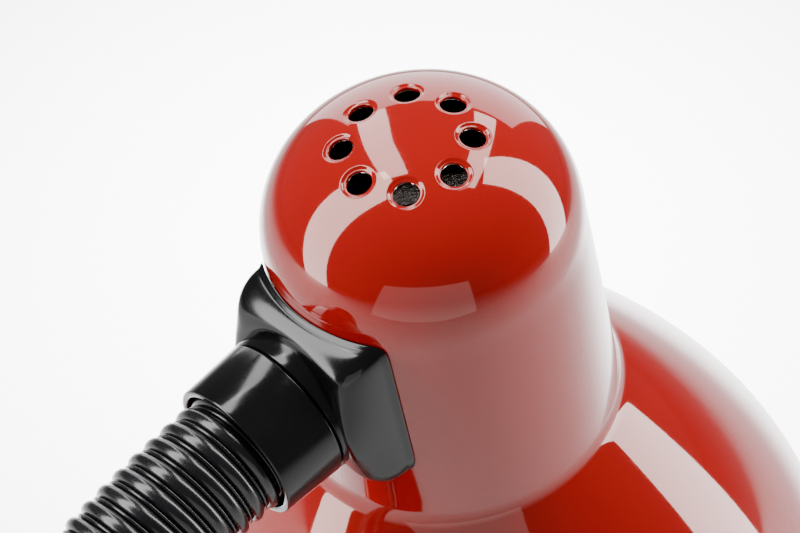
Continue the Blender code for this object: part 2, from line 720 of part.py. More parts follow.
def head_fittings(finishes, head):
    """Along the neck's axis: shim and bracket inside the cap, then washer, nut, ferrule and the
    collar over the neck's end."""
    axis = empty_at("neck_axis", Matrix.Identity(4))
    axis.parent = head
    axis.matrix_local = along_neck_axis()

    shim = prism("inner_shim", circle(0.0080, 24), SHIM_FLAT, 0.0320, finishes["black_matt"], axis)
    wall = turned("shim_seat", [(cone_radius(-0.005) - WALL - GAP, 0.005), (0.060, 0.005), (0.060, -0.048),
                                (cone_radius(0.048) - WALL - GAP, -0.048)], parent=head, sides=80)
    cut(shim, wall)
    cut(shim, prism("shim_hole", circle(THREAD_HOLE, 24), 0.020, 0.040, parent=axis))

    washer_out = SHIM_FLAT - GAP - BRACKET_WALL - GAP
    turned("head_washer", tube_profile(WASHER_RADIUS, THREAD_HOLE, washer_out - 0.0011, washer_out),
           finishes["zinc"], axis, sides=ROUND_SMALL)
    hex_nut("head_nut", NUT_REACH, washer_out - 0.0011 - GAP, finishes["zinc"], axis)
    turned("head_ferrule", [
        (THREAD_BORE, 0.0203), (THREAD_RADIUS, 0.0203), (THREAD_RADIUS, HEAD_FLANGE_IN),
        (FLANGE_RADIUS, HEAD_FLANGE_IN), (FLANGE_RADIUS, HEAD_FLANGE_OUT), (SPIGOT_RADIUS, HEAD_FLANGE_OUT),
        (SPIGOT_RADIUS, HEAD_FLANGE_OUT + 0.0090), (THREAD_BORE, HEAD_FLANGE_OUT + 0.0090)],
        finishes["zinc"], axis, sides=ROUND_SMALL)
    turned("head_collar", [
        (THREAD_HOLE, SEAM_REACH), (COLLAR_BASE_RADIUS - 0.0006, SEAM_REACH),
        (COLLAR_BASE_RADIUS, SEAM_REACH + 0.0006), (COLLAR_RIM_RADIUS, COLLAR_REACH - 0.0003),
        (COLLAR_RIM_RADIUS - 0.0003, COLLAR_REACH), (COLLAR_BORE, COLLAR_REACH),
        (COLLAR_BORE, HEAD_FLANGE_IN - GAP), (THREAD_HOLE, HEAD_FLANGE_IN - GAP)],
        finishes["black_gloss"], axis)


def holder_bracket(finishes, head):
    """A bent strip: one leg under the nut on the cap's wall, the other over the lamp holder."""
    out = SHIM_FLAT - GAP
    top = -0.0070
    side = [
        (-0.0090, -BRACKET_DEPTH - BRACKET_WALL), (out, -BRACKET_DEPTH - BRACKET_WALL), (out, top),
        (out - BRACKET_WALL, top), (out - BRACKET_WALL, -BRACKET_DEPTH), (-0.0090, -BRACKET_DEPTH),
    ]
    bracket = prism("holder_bracket", side, -0.0070, 0.0070, finishes["zinc"], head)
    bracket.data.transform(Matrix(((0, 0, 1, 0), (1, 0, 0, 0), (0, 1, 0, 0), (0, 0, 0, 1))))
    drill(bracket, THREAD_HOLE, (0, 0.020, -SOCKET_DEPTH), (0, 0.035, -SOCKET_DEPTH), head)
    drill(bracket, THREAD_HOLE, (0, 0, -BRACKET_DEPTH + 0.005), (0, 0, -BRACKET_DEPTH - 0.005), head)


def lamp_holder(finishes, head):
    """The screw lamp holder under the bracket, its mouth towards the shade's opening."""
    bracket_under = -BRACKET_DEPTH - BRACKET_WALL
    turned("holder_nipple", tube_profile(THREAD_RADIUS, THREAD_BORE, -NIPPLE_END, -NIPPLE_TOP),
           finishes["zinc"], head, sides=ROUND_SMALL)
    hex_nut("holder_nut", -BRACKET_DEPTH + GAP, -BRACKET_DEPTH + 0.0033, finishes["zinc"], head)
    top = bracket_under - GAP
    turned("holder_cap", [
        (THREAD_HOLE, top), (0.0140, top), (0.0175, top - 0.0013), (HOLDER_RADIUS, top - 0.0052),
        (HOLDER_RADIUS, -HOLDER_SEAM), (0.0182, -HOLDER_SEAM), (0.0182, top - 0.0058), (0.0135, top - 0.0030),
        (THREAD_HOLE, top - 0.0030)], finishes["black_gloss"], head)
    mouth = -HOLDER_MOUTH
    turned("holder_skirt", [
        (0.0187, -HOLDER_SEAM - GAP), (HOLDER_RADIUS, -HOLDER_SEAM - GAP), (HOLDER_RADIUS, -0.0520),
        (0.0192, -0.0545), (0.0192, mouth + 0.0010), (0.0186, mouth), (0.0160, mouth),
        (0.0160, mouth + 0.0014), (0.0180, mouth + 0.0018), (0.0180, -0.0560), (0.0187, -0.0540)],
        finishes["black_gloss"], head)
    turned("holder_insert", [
        (0.0020, -0.0468), (0.0176, -0.0468), (0.0176, -0.0736), (0.0145, -0.0736), (0.0145, -0.0492),
        (0.0020, -0.0492)], finishes["ceramic"], head)
    turned("holder_thread", tube_profile(0.0142, 0.0136, -0.0730, -0.0530), finishes["brass"], head)
    strip = [(-0.0080, -0.0495), (-0.0040, -0.0495), (-0.0020, -0.0504), (0.0040, -0.0504), (0.0040, -0.0510),
             (-0.0022, -0.0510), (-0.0042, -0.0501), (-0.0080, -0.0501)]
    contact = prism("holder_contact", strip, -0.0025, 0.0025, finishes["brass"], head)
    contact.data.transform(Matrix(((0, 0, 1, 0), (1, 0, 0, 0), (0, 1, 0, 0), (0, 0, 0, 1))))


def bulb(finishes, head):
    """A small round bulb: contact, insulator, screw cap, glass and the stem inside it."""
    button_end = -BULB_TIP - 0.0010
    turned("bulb_contact", [
        (0, -BULB_TIP), (0.0030, -BULB_TIP - 0.0003), (0.0045, button_end), (0, button_end)],
        finishes["nickel"], head, sides=ROUND_SMALL)
    insulator_top = button_end - GAP
    turned("bulb_insulator", [
        (0, insulator_top), (0.0052, insulator_top), (0.0116, -BULB_SHELL_TOP + 0.0004),
        (0.0116, -BULB_SHELL_TOP - 0.0010), (0, -BULB_SHELL_TOP - 0.0010)],
        finishes["black_gloss"], head, sides=ROUND_SMALL)
    shell = BULB_SHELL_RADIUS
    inside = shell - BULB_SHELL_WALL
    turned("bulb_shell", [
        (0.0119, -BULB_SHELL_TOP), (inside, -BULB_SHELL_TOP), (shell, -BULB_SHELL_TOP - 0.0010),
        (shell, -BULB_SHELL_END), (inside, -BULB_SHELL_END),
        (inside, -BULB_SHELL_TOP - 2 * BULB_SHELL_WALL),
        (0.0119, -BULB_SHELL_TOP - BULB_SHELL_WALL)], finishes["nickel"], head, sides=ROUND_SMALL)
    turned("bulb_glass", glass_profile(), finishes["glass"], head)
    turned("bulb_stem", [
        (0, -0.0640), (0.0060, -0.0640), (0.0055, -0.0800), (0.0016, -0.0900),
        (0.0012, -0.1020), (0, -0.1020)],
        finishes["ceramic"], head, sides=16)


def glass_profile():
    """The globe runs into its neck by an arc that touches both."""
    wall, neck = 0.0007, 0.0118
    middle = BULB_END - BULB_GLOBE_RADIUS
    start = 0.0715
    outer = [(neck, -start), (neck, -0.0775)]
    leave = math.radians(128)
    steps = 7
    for i in range(steps + 1):
        angle = leave * (1 - i / steps)
        radius = BULB_GLOBE_RADIUS * math.sin(angle)
        outer.append((radius if i < steps else 0.0, -middle - BULB_GLOBE_RADIUS * math.cos(angle)))
    inner = []
    for r, z in outer:
        inward = wall * (r / BULB_GLOBE_RADIUS if z < -0.0900 else 1)
        upward = wall * max(0.0, -(z + middle)) / BULB_GLOBE_RADIUS
        inner.append((max(r - inward, 0.0), z + upward))
    return [*reversed(outer), *inner]


# Leads ----------------------------------------------------------------------------------------
def lamp_lead(finishes, head_frame):
    """The lead from the terminal block, up the neck's bore and into the lamp holder."""
    radius = 0.0016
    foot = [
        Vector((0, BLOCK_Y[1] + GAP, LEAD_Z)), Vector((0, 0.020, LEAD_Z)), Vector((0, 0.032, 0.0070)),
        Vector((0, 0.0392, 0.0078)), Vector((0, 0.0417, 0.0115)), Vector((0, NECK_FOOT_Y, 0.018)),
        Vector((0, NECK_FOOT_Y, 0.034)),
    ]
    steps = 14
    neck = [neck_point(NECK_LENGTH * i / steps)[0] for i in range(steps + 1)]
    head = [
        head_frame @ Vector((0, y, z))
        for y, z in ((0.036, -SOCKET_DEPTH), (0.021, -SOCKET_DEPTH), (0.0145, -0.0152), (0.0085, -0.0122),
                     (0.0035, -0.0125), (0.0004, -0.0165), (0.0, -0.0230), (0.0, -0.0360), (0.0, -0.0450))
    ]
    swept("lamp_lead", smooth_route([*foot, *neck, *head], 0.009), radius, finishes["lead_sheath"])


def switch_leads(finishes):
    """Two short wires from the switch's tabs to the terminal block."""
    for number, side in ((1, -1), (2, 1)):
        x = 0.0038 * side
        route = [
            Vector((x, SWITCH_Y + 0.0027, 0.0095)), Vector((x * 1.2, SWITCH_Y + 0.008, 0.0085)),
            Vector((x * 1.7, SWITCH_Y + 0.020, LEAD_Z)), Vector((0.0055 * side, BLOCK_Y[0] - 0.006, LEAD_Z)),
            Vector((0.0055 * side, BLOCK_Y[0] - GAP, LEAD_Z)),
        ]
        swept(f"switch_lead_{number}", smooth_route(route, 0.004), 0.0010, finishes["lead_sheath"])


def main():
    clear_scene()
    finishes = make_finishes()
    head = empty_at("head_frame", head_matrix())
    base_plate(finishes)
    base_weight(finishes)
    base_shell(finishes)
    rocker_switch(finishes)
    terminal_block(finishes)
    cord_inlet(finishes)
    foot_fittings(finishes)
    neck_ends(finishes)
    neck_links(finishes)
    shade(finishes, head)
    saddle(finishes, head)
    head_fittings(finishes, head)
    holder_bracket(finishes, head)
    lamp_holder(finishes, head)
    bulb(finishes, head)
    lamp_lead(finishes, head_matrix())
    switch_leads(finishes)


main()
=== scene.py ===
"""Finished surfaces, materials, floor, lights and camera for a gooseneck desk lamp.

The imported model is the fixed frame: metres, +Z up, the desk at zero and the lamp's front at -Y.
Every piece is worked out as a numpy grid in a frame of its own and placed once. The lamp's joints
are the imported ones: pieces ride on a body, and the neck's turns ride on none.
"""

import logging
import math
from dataclasses import dataclass, field, replace
from enum import Enum
from typing import Callable, Iterable, Sequence

import bmesh
import bpy
import numpy as np
from mathutils import Matrix, Vector


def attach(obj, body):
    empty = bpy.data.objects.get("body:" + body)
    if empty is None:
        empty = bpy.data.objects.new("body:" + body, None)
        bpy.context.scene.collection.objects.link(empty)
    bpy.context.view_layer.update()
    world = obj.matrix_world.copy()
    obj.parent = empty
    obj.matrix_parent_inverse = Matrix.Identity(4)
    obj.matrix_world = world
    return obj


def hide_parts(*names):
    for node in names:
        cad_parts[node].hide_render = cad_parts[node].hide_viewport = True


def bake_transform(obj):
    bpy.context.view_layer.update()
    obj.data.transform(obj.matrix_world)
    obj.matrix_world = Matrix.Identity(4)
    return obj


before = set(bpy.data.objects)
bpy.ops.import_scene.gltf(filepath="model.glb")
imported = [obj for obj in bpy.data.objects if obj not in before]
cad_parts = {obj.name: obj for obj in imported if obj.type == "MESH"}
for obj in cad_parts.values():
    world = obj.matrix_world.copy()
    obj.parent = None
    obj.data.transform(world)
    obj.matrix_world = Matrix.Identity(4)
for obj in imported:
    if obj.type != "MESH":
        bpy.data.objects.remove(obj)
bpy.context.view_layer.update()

LOG = logging.getLogger("desk_lamp")
Array = np.ndarray
TAU = 2 * math.pi
GAP = 0.0003
FINE = 128
THREAD_RADIUS = 0.0050
THREAD_BORE = 0.0036
THREAD_HOLE = 0.0054
NUT_CORNER = 0.0095
WASHER_RADIUS = 0.0088
FERRULE_RIM = 0.0115
FERRULE_SPIGOT = 0.0066


class Place(Enum):
    """The bodies that pieces ride on."""

    BASE = "base"
    ROCKER = "rocker"
    NECK_END = "neck_end"
    HEAD = "head"
    BULB_SLIDE = "bulb_slide"
    BULB = "bulb"


class Slot(Enum):
    """The record's material slots."""

    RED = "red_enamel"
    BLACK = "black_gloss"
    BLACK_MATT = "black_matt"
    BLACK_PLATE = "black_plate"
    NECK = "neck"
    ZINC = "zinc"
    BRASS = "brass"
    NICKEL = "nickel"
    IRON = "iron"
    FOAM = "foam"
    CERAMIC = "ceramic"
    WHITE = "white_plastic"
    GLASS = "glass"
    LEAD = "lead"


# Frames ----------------------------------------------------------------------------------------
@dataclass(frozen=True)
class Frame:
    """A right-handed frame in the row frame."""

    origin: Array
    axes: Array

    def place(self, points: Array) -> Array:
        """Points of this frame, in the row frame."""
        return np.asarray(points, float) @ self.axes + self.origin

    def turn(self, directions: Array) -> Array:
        """Directions of this frame, in the row frame."""
        return np.asarray(directions, float) @ self.axes


def level(x: float = 0.0, y: float = 0.0, z: float = 0.0) -> Frame:
    """A frame in line with the row frame, at a point."""
    return Frame(np.array([x, y, z]), np.eye(3))


@dataclass(frozen=True)
class Neck:
    """The neck's centre line: a straight foot, then one arc up to the head's collar."""

    foot_y: float = 0.042
    foot_z: float = 0.050
    straight: float = 0.090
    arc_radius: float = 0.154
    head_tilt: float = 10.6
    joints: int = 12

    @property
    def arc_angle(self) -> float:
        """How far the arc turns, in radians."""
        return math.radians(90 - self.head_tilt)

    @property
    def length(self) -> float:
        """From the foot collar's rim to the head collar's rim."""
        return self.straight + self.arc_radius * self.arc_angle

    @property
    def spacing(self) -> float:
        """From one joint to the next."""
        return self.length / self.joints

    def along(self, s: Array) -> tuple[Array, Array, Array]:
        """The centre line at distances s from the foot collar's rim.

        The line is straight up to the arc, follows the arc, and runs straight on past its end.

        Args:
            s: distances along the line, of any shape.

        Returns:
            Points, directions, and the in-plane normals square to them, each of shape (..., 3).
        """
        s = np.asarray(s, float)
        turn = np.clip((s - self.straight) / self.arc_radius, 0.0, self.arc_angle)
        past = np.maximum(s - self.length, 0.0)
        zero = np.zeros_like(turn)
        direction = np.stack([zero, -np.sin(turn), np.cos(turn)], -1)
        normal = np.stack([zero, np.cos(turn), np.sin(turn)], -1)
        point = np.stack(
            [
                zero,
                self.foot_y - self.arc_radius * (1 - np.cos(turn)),
                self.foot_z + np.minimum(s, self.straight) + self.arc_radius * np.sin(turn),
            ],
            -1,
        )
        return point + direction * past[..., None], direction, normal

    def body(self, k: int) -> str:
        """The body below joint k, counting up from the base."""
        if k == 0:
            return Place.BASE.value
        return Place.NECK_END.value if k == self.joints else f"link_{k:02d}"


NECK = Neck()
COLLAR_REACH = 0.0531
SOCKET_DEPTH = 0.0161


def head_frame() -> Frame:
    """The head's frame: its origin at the cap's shoulder, +Z out of the dome, +Y along the neck."""
    tilt = math.radians(NECK.head_tilt)
    axes = np.array(
        [
            [1, 0, 0],
            [0, math.cos(tilt), -math.sin(tilt)],
            [0, math.sin(tilt), math.cos(tilt)],
        ]
    )
    rim = NECK.along(np.array(NECK.length))[0]
    return Frame(rim - np.array([0, COLLAR_REACH, -SOCKET_DEPTH]) @ axes, axes)


HEAD = head_frame()
NECK_AXIS = Frame(
    HEAD.place([0, 0, -SOCKET_DEPTH]), np.array([[1, 0, 0], [0, 0, -1], [0, 1, 0]]) @ HEAD.axes
)
FOOT = level(y=NECK.foot_y)


# Meshes ----------------------------------------------------------------------------------------
def mesh_piece(
    name: str, points: Array, faces: Array, frame_: Frame, sharp: float = 40.0
) -> bpy.types.Object:
    """A closed mesh from points and quads, with its doubles merged and its normals outwards.

    Args:
        name: the piece's name.
        points: (n, 3) points in frame_.
        faces: (m, 4) indices.
        frame_: where the points are.
        sharp: edges that turn by more than this many degrees stay crisp.

    Returns:
        The new object, at the origin.
    """
    mesh = bpy.data.meshes.new(name)
    mesh.vertices.add(len(points))
    mesh.vertices.foreach_set("co", frame_.place(points).astype(np.float32).ravel())
    mesh.loops.add(faces.size)
    mesh.loops.foreach_set("vertex_index", faces.astype(np.int32).ravel())
    mesh.polygons.add(len(faces))
    mesh.polygons.foreach_set("loop_start", np.arange(len(faces), dtype=np.int32) * faces.shape[1])
    mesh.update(calc_edges=True)
    shape = bmesh.new()
    shape.from_mesh(mesh)
    bmesh.ops.remove_doubles(shape, verts=shape.verts, dist=2e-7)
    bmesh.ops.dissolve_degenerate(shape, edges=shape.edges, dist=1e-8)
    bmesh.ops.recalc_face_normals(shape, faces=shape.faces)
    shape.to_mesh(mesh)
    shape.free()
    return object_of(name, mesh, sharp)


def object_of(name: str, mesh: bpy.types.Mesh, sharp: float) -> bpy.types.Object:
    """An object at the origin, shaded smooth but for its sharp edges."""
    mesh.shade_smooth()
    mesh.set_sharp_from_angle(angle=math.radians(sharp))
    made = bpy.data.objects.new(name, mesh)
    bpy.context.scene.collection.objects.link(made)
    return made


def grid_faces(rows: int, columns: int, wrap_rows: bool, wrap_columns: bool, start: int = 0) -> Array:
    """Quads over a grid of points that is stored row by row.

    Args:
        rows: points down the grid.
        columns: points across it.
        wrap_rows: whether the last row joins the first.
        wrap_columns: whether the last column joins the first.
        start: the first point's index.

    Returns:
        (m, 4) indices.
    """
    i = np.arange(rows if wrap_rows else rows - 1)[:, None]
    j = np.arange(columns if wrap_columns else columns - 1)[None, :]
    down, right = (i + 1) % rows, (j + 1) % columns
    corners = [i * columns + j, i * columns + right, down * columns + right, down * columns + j]
    return start + np.stack([np.broadcast_to(c, (i.size, j.size)) for c in corners], -1).reshape(-1, 4)


def merged(grids: Iterable[tuple[Array, bool, bool]]) -> tuple[Array, Array]:
    """Several grids as one set of points and quads. Each is (points, wrap rows, wrap columns)."""
    points, faces, start = [], [], 0
    for grid, wrap_rows, wrap_columns in grids:
        rows, columns = grid.shape[:2]
        faces.append(grid_faces(rows, columns, wrap_rows, wrap_columns, start))
        points.append(grid.reshape(-1, 3))
        start += rows * columns
    return np.concatenate(points), np.concatenate(faces)


def eased(
    profile: Sequence[tuple[float, float]], radius: float, closed: bool = True, steps: int = 4
) -> Array:
    """A profile with each corner replaced by a parabola arc that touches both of its sides.

    The arc starts and ends a radius from the corner, or 0.45 of the shorter side if that is less.

    Args:
        profile: (radius, height) corners.
        radius: how far the easing reaches.
        closed: whether the last corner joins the first.
        steps: segments of each arc.

    Returns:
        (n, 2) points.
    """
    corners = np.asarray(profile, float)
    before, after = np.roll(corners, 1, 0), np.roll(corners, -1, 0)
    back, ahead = before - corners, after - corners
    reach_back = np.linalg.norm(back, axis=1)
    reach_ahead = np.linalg.norm(ahead, axis=1)
    reach = np.minimum(radius, 0.45 * np.minimum(reach_back, reach_ahead))
    start = corners + back * (reach / reach_back)[:, None]
    end = corners + ahead * (reach / reach_ahead)[:, None]
    t = np.linspace(0, 1, steps + 1)[None, :, None]
    arcs = (1 - t) ** 2 * start[:, None] + 2 * t * (1 - t) * corners[:, None] + t**2 * end[:, None]
    if closed:
        return arcs.reshape(-1, 2)
    return np.concatenate([corners[:1], arcs[1:-1].reshape(-1, 2), corners[-1:]])


def revolve(profile: Array, sides: int = FINE) -> Array:
    """A (rows, sides, 3) grid: each profile point (r, z) carried round the frame's Z axis."""
    angle = TAU * np.arange(sides) / sides
    radius, height = profile[:, :1], profile[:, 1:2]
    flat = np.broadcast_to(height, (len(profile), sides))
    return np.stack([radius * np.cos(angle), radius * np.sin(angle), flat], -1)


def turned(
    name: str,
    profile: Sequence[tuple[float, float]],
    frame_: Frame,
    ease: float = 0.0003,
    sides: int = FINE,
) -> bpy.types.Object:
    """A turned solid. A profile that starts and ends on the axis is closed there by its poles.

    Args:
        name: the piece's name.
        profile: (radius, height) corners.
        frame_: the frame whose Z is the axis.
        ease: how far each corner is rounded.
        sides: facets round the axis.

    Returns:
        The new object.
    """
    closed = profile[0][0] > 0
    grid = revolve(eased(profile, ease, closed), sides)
    return mesh_piece(name, *merged([(grid, closed, True)]), frame_)


def tube(outer: float, inner: float, low: float, high: float) -> list[tuple[float, float]]:
    """A plain ring's profile."""
    return [(outer, low), (outer, high), (inner, high), (inner, low)]


def hexagon_nut(
    name: str, across_corners: float, bore: float, low: float, high: float, frame_: Frame
) -> bpy.types.Object:
    """A nut: a hexagon prism whose ends are cut by a 30 degree cone, with a round bore.

    The outer wall is at apothem / cos(angle from the flat's middle); each end falls away by
    0.58 of what that wall stands out past the apothem.

    Args:
        name: the piece's name.
        across_corners: the hexagon's circumradius.
        bore: the hole's radius.
        low: the lower end.
        high: the upper end.
        frame_: the frame whose Z is the nut's axis.

    Returns:
        The new object.
    """
    apothem = across_corners * math.cos(math.pi / 6)
    angle = TAU * np.arange(96) / 96
    wall = apothem / np.cos((angle + math.pi / 6) % (math.pi / 3) - math.pi / 6)
    fall = (wall - apothem * 0.97) * 0.58
    ring = np.full_like(angle, bore)
    lead = np.full_like(angle, bore + 0.0003)
    shoulder = np.full_like(angle, apothem * 0.97)
    flat = np.zeros_like(angle)
    radii = np.stack([ring, lead, shoulder, wall, wall, shoulder, lead, ring])
    heights = np.stack(
        [low + flat + 0.0003, low + flat, low + flat, low + fall, high - fall, high + flat, high + flat,
         high + flat - 0.0003]
    )
    grid = np.stack([radii * np.cos(angle), radii * np.sin(angle), heights], -1)
    return mesh_piece(name, *merged([(grid, True, True)]), frame_, sharp=20)


def swept(points: Array, radius: float, sides: int = 12) -> Array:
    """A capped tube's (rows, sides, 3) grid along points.

    Each ring lies square to the line in a frame carried along X, which no route here follows, and
    the first and last rings close to their centres.

    Args:
        points: (n, 3) points along the line.
        radius: the tube's radius.
        sides: points round each ring.

    Returns:
        The grid, its first and last rows of no radius.
    """
    along = np.gradient(points, axis=0)
    along /= np.linalg.norm(along, axis=1)[:, None]
    side = np.array([1.0, 0, 0]) - along[:, :1] * along
    side /= np.linalg.norm(side, axis=1)[:, None]
    up = np.cross(along, side)
    radii = np.full(len(points), radius)
    points = np.concatenate([points[:1], points, points[-1:]])
    side = np.concatenate([side[:1], side, side[-1:]])
    up = np.concatenate([up[:1], up, up[-1:]])
    radii = np.concatenate([[0.0], radii, [0.0]])
    angle = TAU * np.arange(sides) / sides
    ring = np.cos(angle)[None, :, None] * side[:, None] + np.sin(angle)[None, :, None] * up[:, None]
    return points[:, None] + ring * radii[:, None, None]


def smooth_route(marks: Array, spacing: float) -> Array:
    """Points every spacing or so on the Catmull-Rom curve through (n, 3) marks."""
    ends = np.concatenate([2 * marks[:1] - marks[1:2], marks, 2 * marks[-1:] - marks[-2:-1]])
    before, start, end, after = ends[:-3], ends[1:-2], ends[2:-1], ends[3:]
    count = max(2, round(float(np.linalg.norm(end - start, axis=1).max()) / spacing))
    t = (np.arange(count) / count)[None, :, None]
    before, start, end, after = (part[:, None] for part in (before, start, end, after))
    curve = 0.5 * (
        2 * start
        + (end - before) * t
        + (2 * before - 5 * start + 4 * end - after) * t**2
        + (3 * start - before - 3 * end + after) * t**3
    )
    return np.concatenate([curve.reshape(-1, 3), marks[-1:]])


def softened(name: str, node: str, width: float) -> bpy.types.Object:
    """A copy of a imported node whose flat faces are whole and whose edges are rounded.

    Args:
        name: the new piece's name.
        node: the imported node.
        width: the bevel's width.

    Returns:
        The new object, with a Bevel modifier.
    """
    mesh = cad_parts[node].data.copy()
    mesh.name = name
    mesh.materials.clear()
    shape = bmesh.new()
    shape.from_mesh(mesh)
    bmesh.ops.remove_doubles(shape, verts=shape.verts, dist=1e-6)
    bmesh.ops.dissolve_limit(shape, angle_limit=math.radians(1), verts=shape.verts, edges=shape.edges)
    shape.to_mesh(mesh)
    shape.free()
    made = object_of(name, mesh, 35)
    bevel = made.modifiers.new("rounded_edges", "BEVEL")
    bevel.width = width
    bevel.segments = 2
    bevel.limit_method = "ANGLE"
    bevel.angle_limit = math.radians(30)
    bevel.use_clamp_overlap = True
    bevel.harden_normals = True
    return made


# Finishes --------------------------------------------------------------------------------------
def srgb(code: str) -> tuple[float, float, float, float]:
    """An sRGB hex colour, such as B01010, as linear RGBA."""
    parts = np.array([int(code[i : i + 2], 16) for i in (0, 2, 4)]) / 255
    linear = np.where(parts <= 0.04045, parts / 12.92, ((parts + 0.055) / 1.055) ** 2.4)
    return (*linear.tolist(), 1.0)


def add_node(
    tree: bpy.types.NodeTree, kind: str, settings: dict | None = None, inputs: dict | None = None
) -> bpy.types.Node:
    """A node with its properties, and its inputs set or linked.

    Args:
        tree: the material's node tree.
        kind: the node's type.
        settings: properties of the node.
        inputs: a value, or another node's output socket, for each named or numbered input.

    Returns:
        The new node.
    """
    node = tree.nodes.new(kind)
    for key, value in (settings or {}).items():
        setattr(node, key, value)
    for key, value in (inputs or {}).items():
        if isinstance(value, bpy.types.NodeSocket):
            tree.links.new(value, node.inputs[key])
        else:
            node.inputs[key].default_value = value
    return node


def ramp(
    tree: bpy.types.NodeTree, factor: bpy.types.NodeSocket, stops: Sequence[tuple[float, tuple]]
) -> bpy.types.NodeSocket:
    """A colour ramp's output over (position, colour) stops."""
    node = add_node(tree, "ShaderNodeValToRGB", inputs={"Fac": factor})
    while len(node.color_ramp.elements) < len(stops):
        node.color_ramp.elements.new(0.5)
    for element, (position, colour) in zip(node.color_ramp.elements, stops):
        element.position = position
        element.color = colour
    return node.outputs["Color"]


def noise(
    tree: bpy.types.NodeTree,
    where: bpy.types.NodeSocket,
    size_mm: float,
    detail: float = 2.0,
    rough: float = 0.5,
) -> bpy.types.NodeSocket:
    """Noise whose features are about size_mm across."""
    inputs = {"Vector": where, "Scale": 1000 / size_mm, "Detail": detail, "Roughness": rough}
    return add_node(tree, "ShaderNodeTexNoise", inputs=inputs).outputs["Fac"]


@dataclass(frozen=True)
class Finish:
    """A finish: its name, colour and gloss, and how its surface is broken up.

    Fields ending in _mm are real sizes. The tint is a second colour that the noise fades towards.
    """

    name: str
    colour: str
    tint: str
    roughness: float
    metallic: float = 0.0
    ior: float = 1.5
    specular_tint: str = "FFFFFF"
    coat: float = 0.0
    coat_roughness: float = 0.03
    coat_ior: float = 1.5
    patch_mm: float = 8.0
    grain_mm: float = 0.5
    rough_spread: float = 0.05
    bump_mm: float = 0.01
    bump_size_mm: float = 1.0
    extra: Callable | None = field(default=None, compare=False)

    def material(self) -> bpy.types.Material:
        """The finish as a node material on Object coordinates."""
        known = bpy.data.materials.get(self.name)
        if known:
            return known
        made = bpy.data.materials.new(self.name)
        made.use_nodes = True
        tree = made.node_tree
        shader = tree.nodes["Principled BSDF"]
        where = add_node(tree, "ShaderNodeTexCoord").outputs["Object"]
        patches = noise(tree, where, self.patch_mm, 3.0)
        grain = noise(tree, where, self.grain_mm, 2.0, 0.6)
        colour = ramp(tree, patches, [(0.3, srgb(self.colour)), (0.75, srgb(self.tint))])
        tree.links.new(colour, shader.inputs["Base Color"])
        spread = add_node(
            tree,
            "ShaderNodeMapRange",
            inputs={
                "Value": grain,
                "From Min": 0.3,
                "From Max": 0.7,
                "To Min": max(self.roughness - self.rough_spread / 2, 0.01),
                "To Max": self.roughness + self.rough_spread / 2,
            },
        )
        tree.links.new(spread.outputs["Result"], shader.inputs["Roughness"])
        height = noise(tree, where, self.bump_size_mm, 2.0, 0.5)
        bump = add_node(
            tree,
            "ShaderNodeBump",
            inputs={"Strength": 1.0, "Distance": self.bump_mm / 1000, "Height": height},
        )
        tree.links.new(bump.outputs["Normal"], shader.inputs["Normal"])
        shader.inputs["Metallic"].default_value = self.metallic
        if self.metallic < 0.5:
            shader.inputs["IOR"].default_value = self.ior
            shader.inputs["Specular Tint"].default_value = srgb(self.specular_tint)
        if self.coat:
            shader.inputs["Coat Weight"].default_value = self.coat
            shader.inputs["Coat Roughness"].default_value = self.coat_roughness
            shader.inputs["Coat IOR"].default_value = self.coat_ior
        if self.extra:
            self.extra(tree, shader)
        return made


def white_bell_painted_shade_cap(tree: bpy.types.NodeTree, shader: bpy.types.Node) -> None:
    """The bell's inside is white enamel, and the cap's inside is painted near black: painted shade that keeps
    the vents dark.

    The inner wall is told from the outer one by an attribute of the shade's mesh, which is 0
    outside, 1 inside the bell and 2 inside the cap.
    """
    inside = add_node(tree, "ShaderNodeAttribute", {"attribute_name": "inside"}).outputs["Fac"]
    white = add_node(
        tree, "ShaderNodeMapRange", inputs={"Value": inside, "From Min": 0.45, "From Max": 0.55}
    ).outputs["Result"]
    painted_shade_cap = add_node(
        tree, "ShaderNodeMapRange", inputs={"Value": inside, "From Min": 1.45, "From Max": 1.55}
    ).outputs["Result"]
    red = shader.inputs["Base Color"].links[0].from_socket
    first = add_node(
        tree, "ShaderNodeMix", {"data_type": "RGBA"}, {"Factor": white, 6: red, 7: srgb("E6E2DA")}
    ).outputs[2]
    # Inside the cap the colour is painted shade: near black, 0B0A0A.
    second = add_node(
        tree, "ShaderNodeMix", {"data_type": "RGBA"}, {"Factor": painted_shade_cap, 6: first, 7: srgb("0B0A0A")}
    ).outputs[2]
    tree.links.new(second, shader.inputs["Base Color"])


def frosted(tree: bpy.types.NodeTree, shader: bpy.types.Node) -> None:
    """Light passes through the glass and is scattered by its etched inner face."""
    shader.inputs["Transmission Weight"].default_value = 0.55


RED = Finish(
    "red_vitreous_enamel", "A40C0A", "A90E0B", 0.06, ior=1.55, specular_tint="FFC4A8", coat=1.0,
    coat_roughness=0.02, coat_ior=1.55, patch_mm=30, grain_mm=0.8, rough_spread=0.04, bump_mm=0.004,
    bump_size_mm=5.0,
)


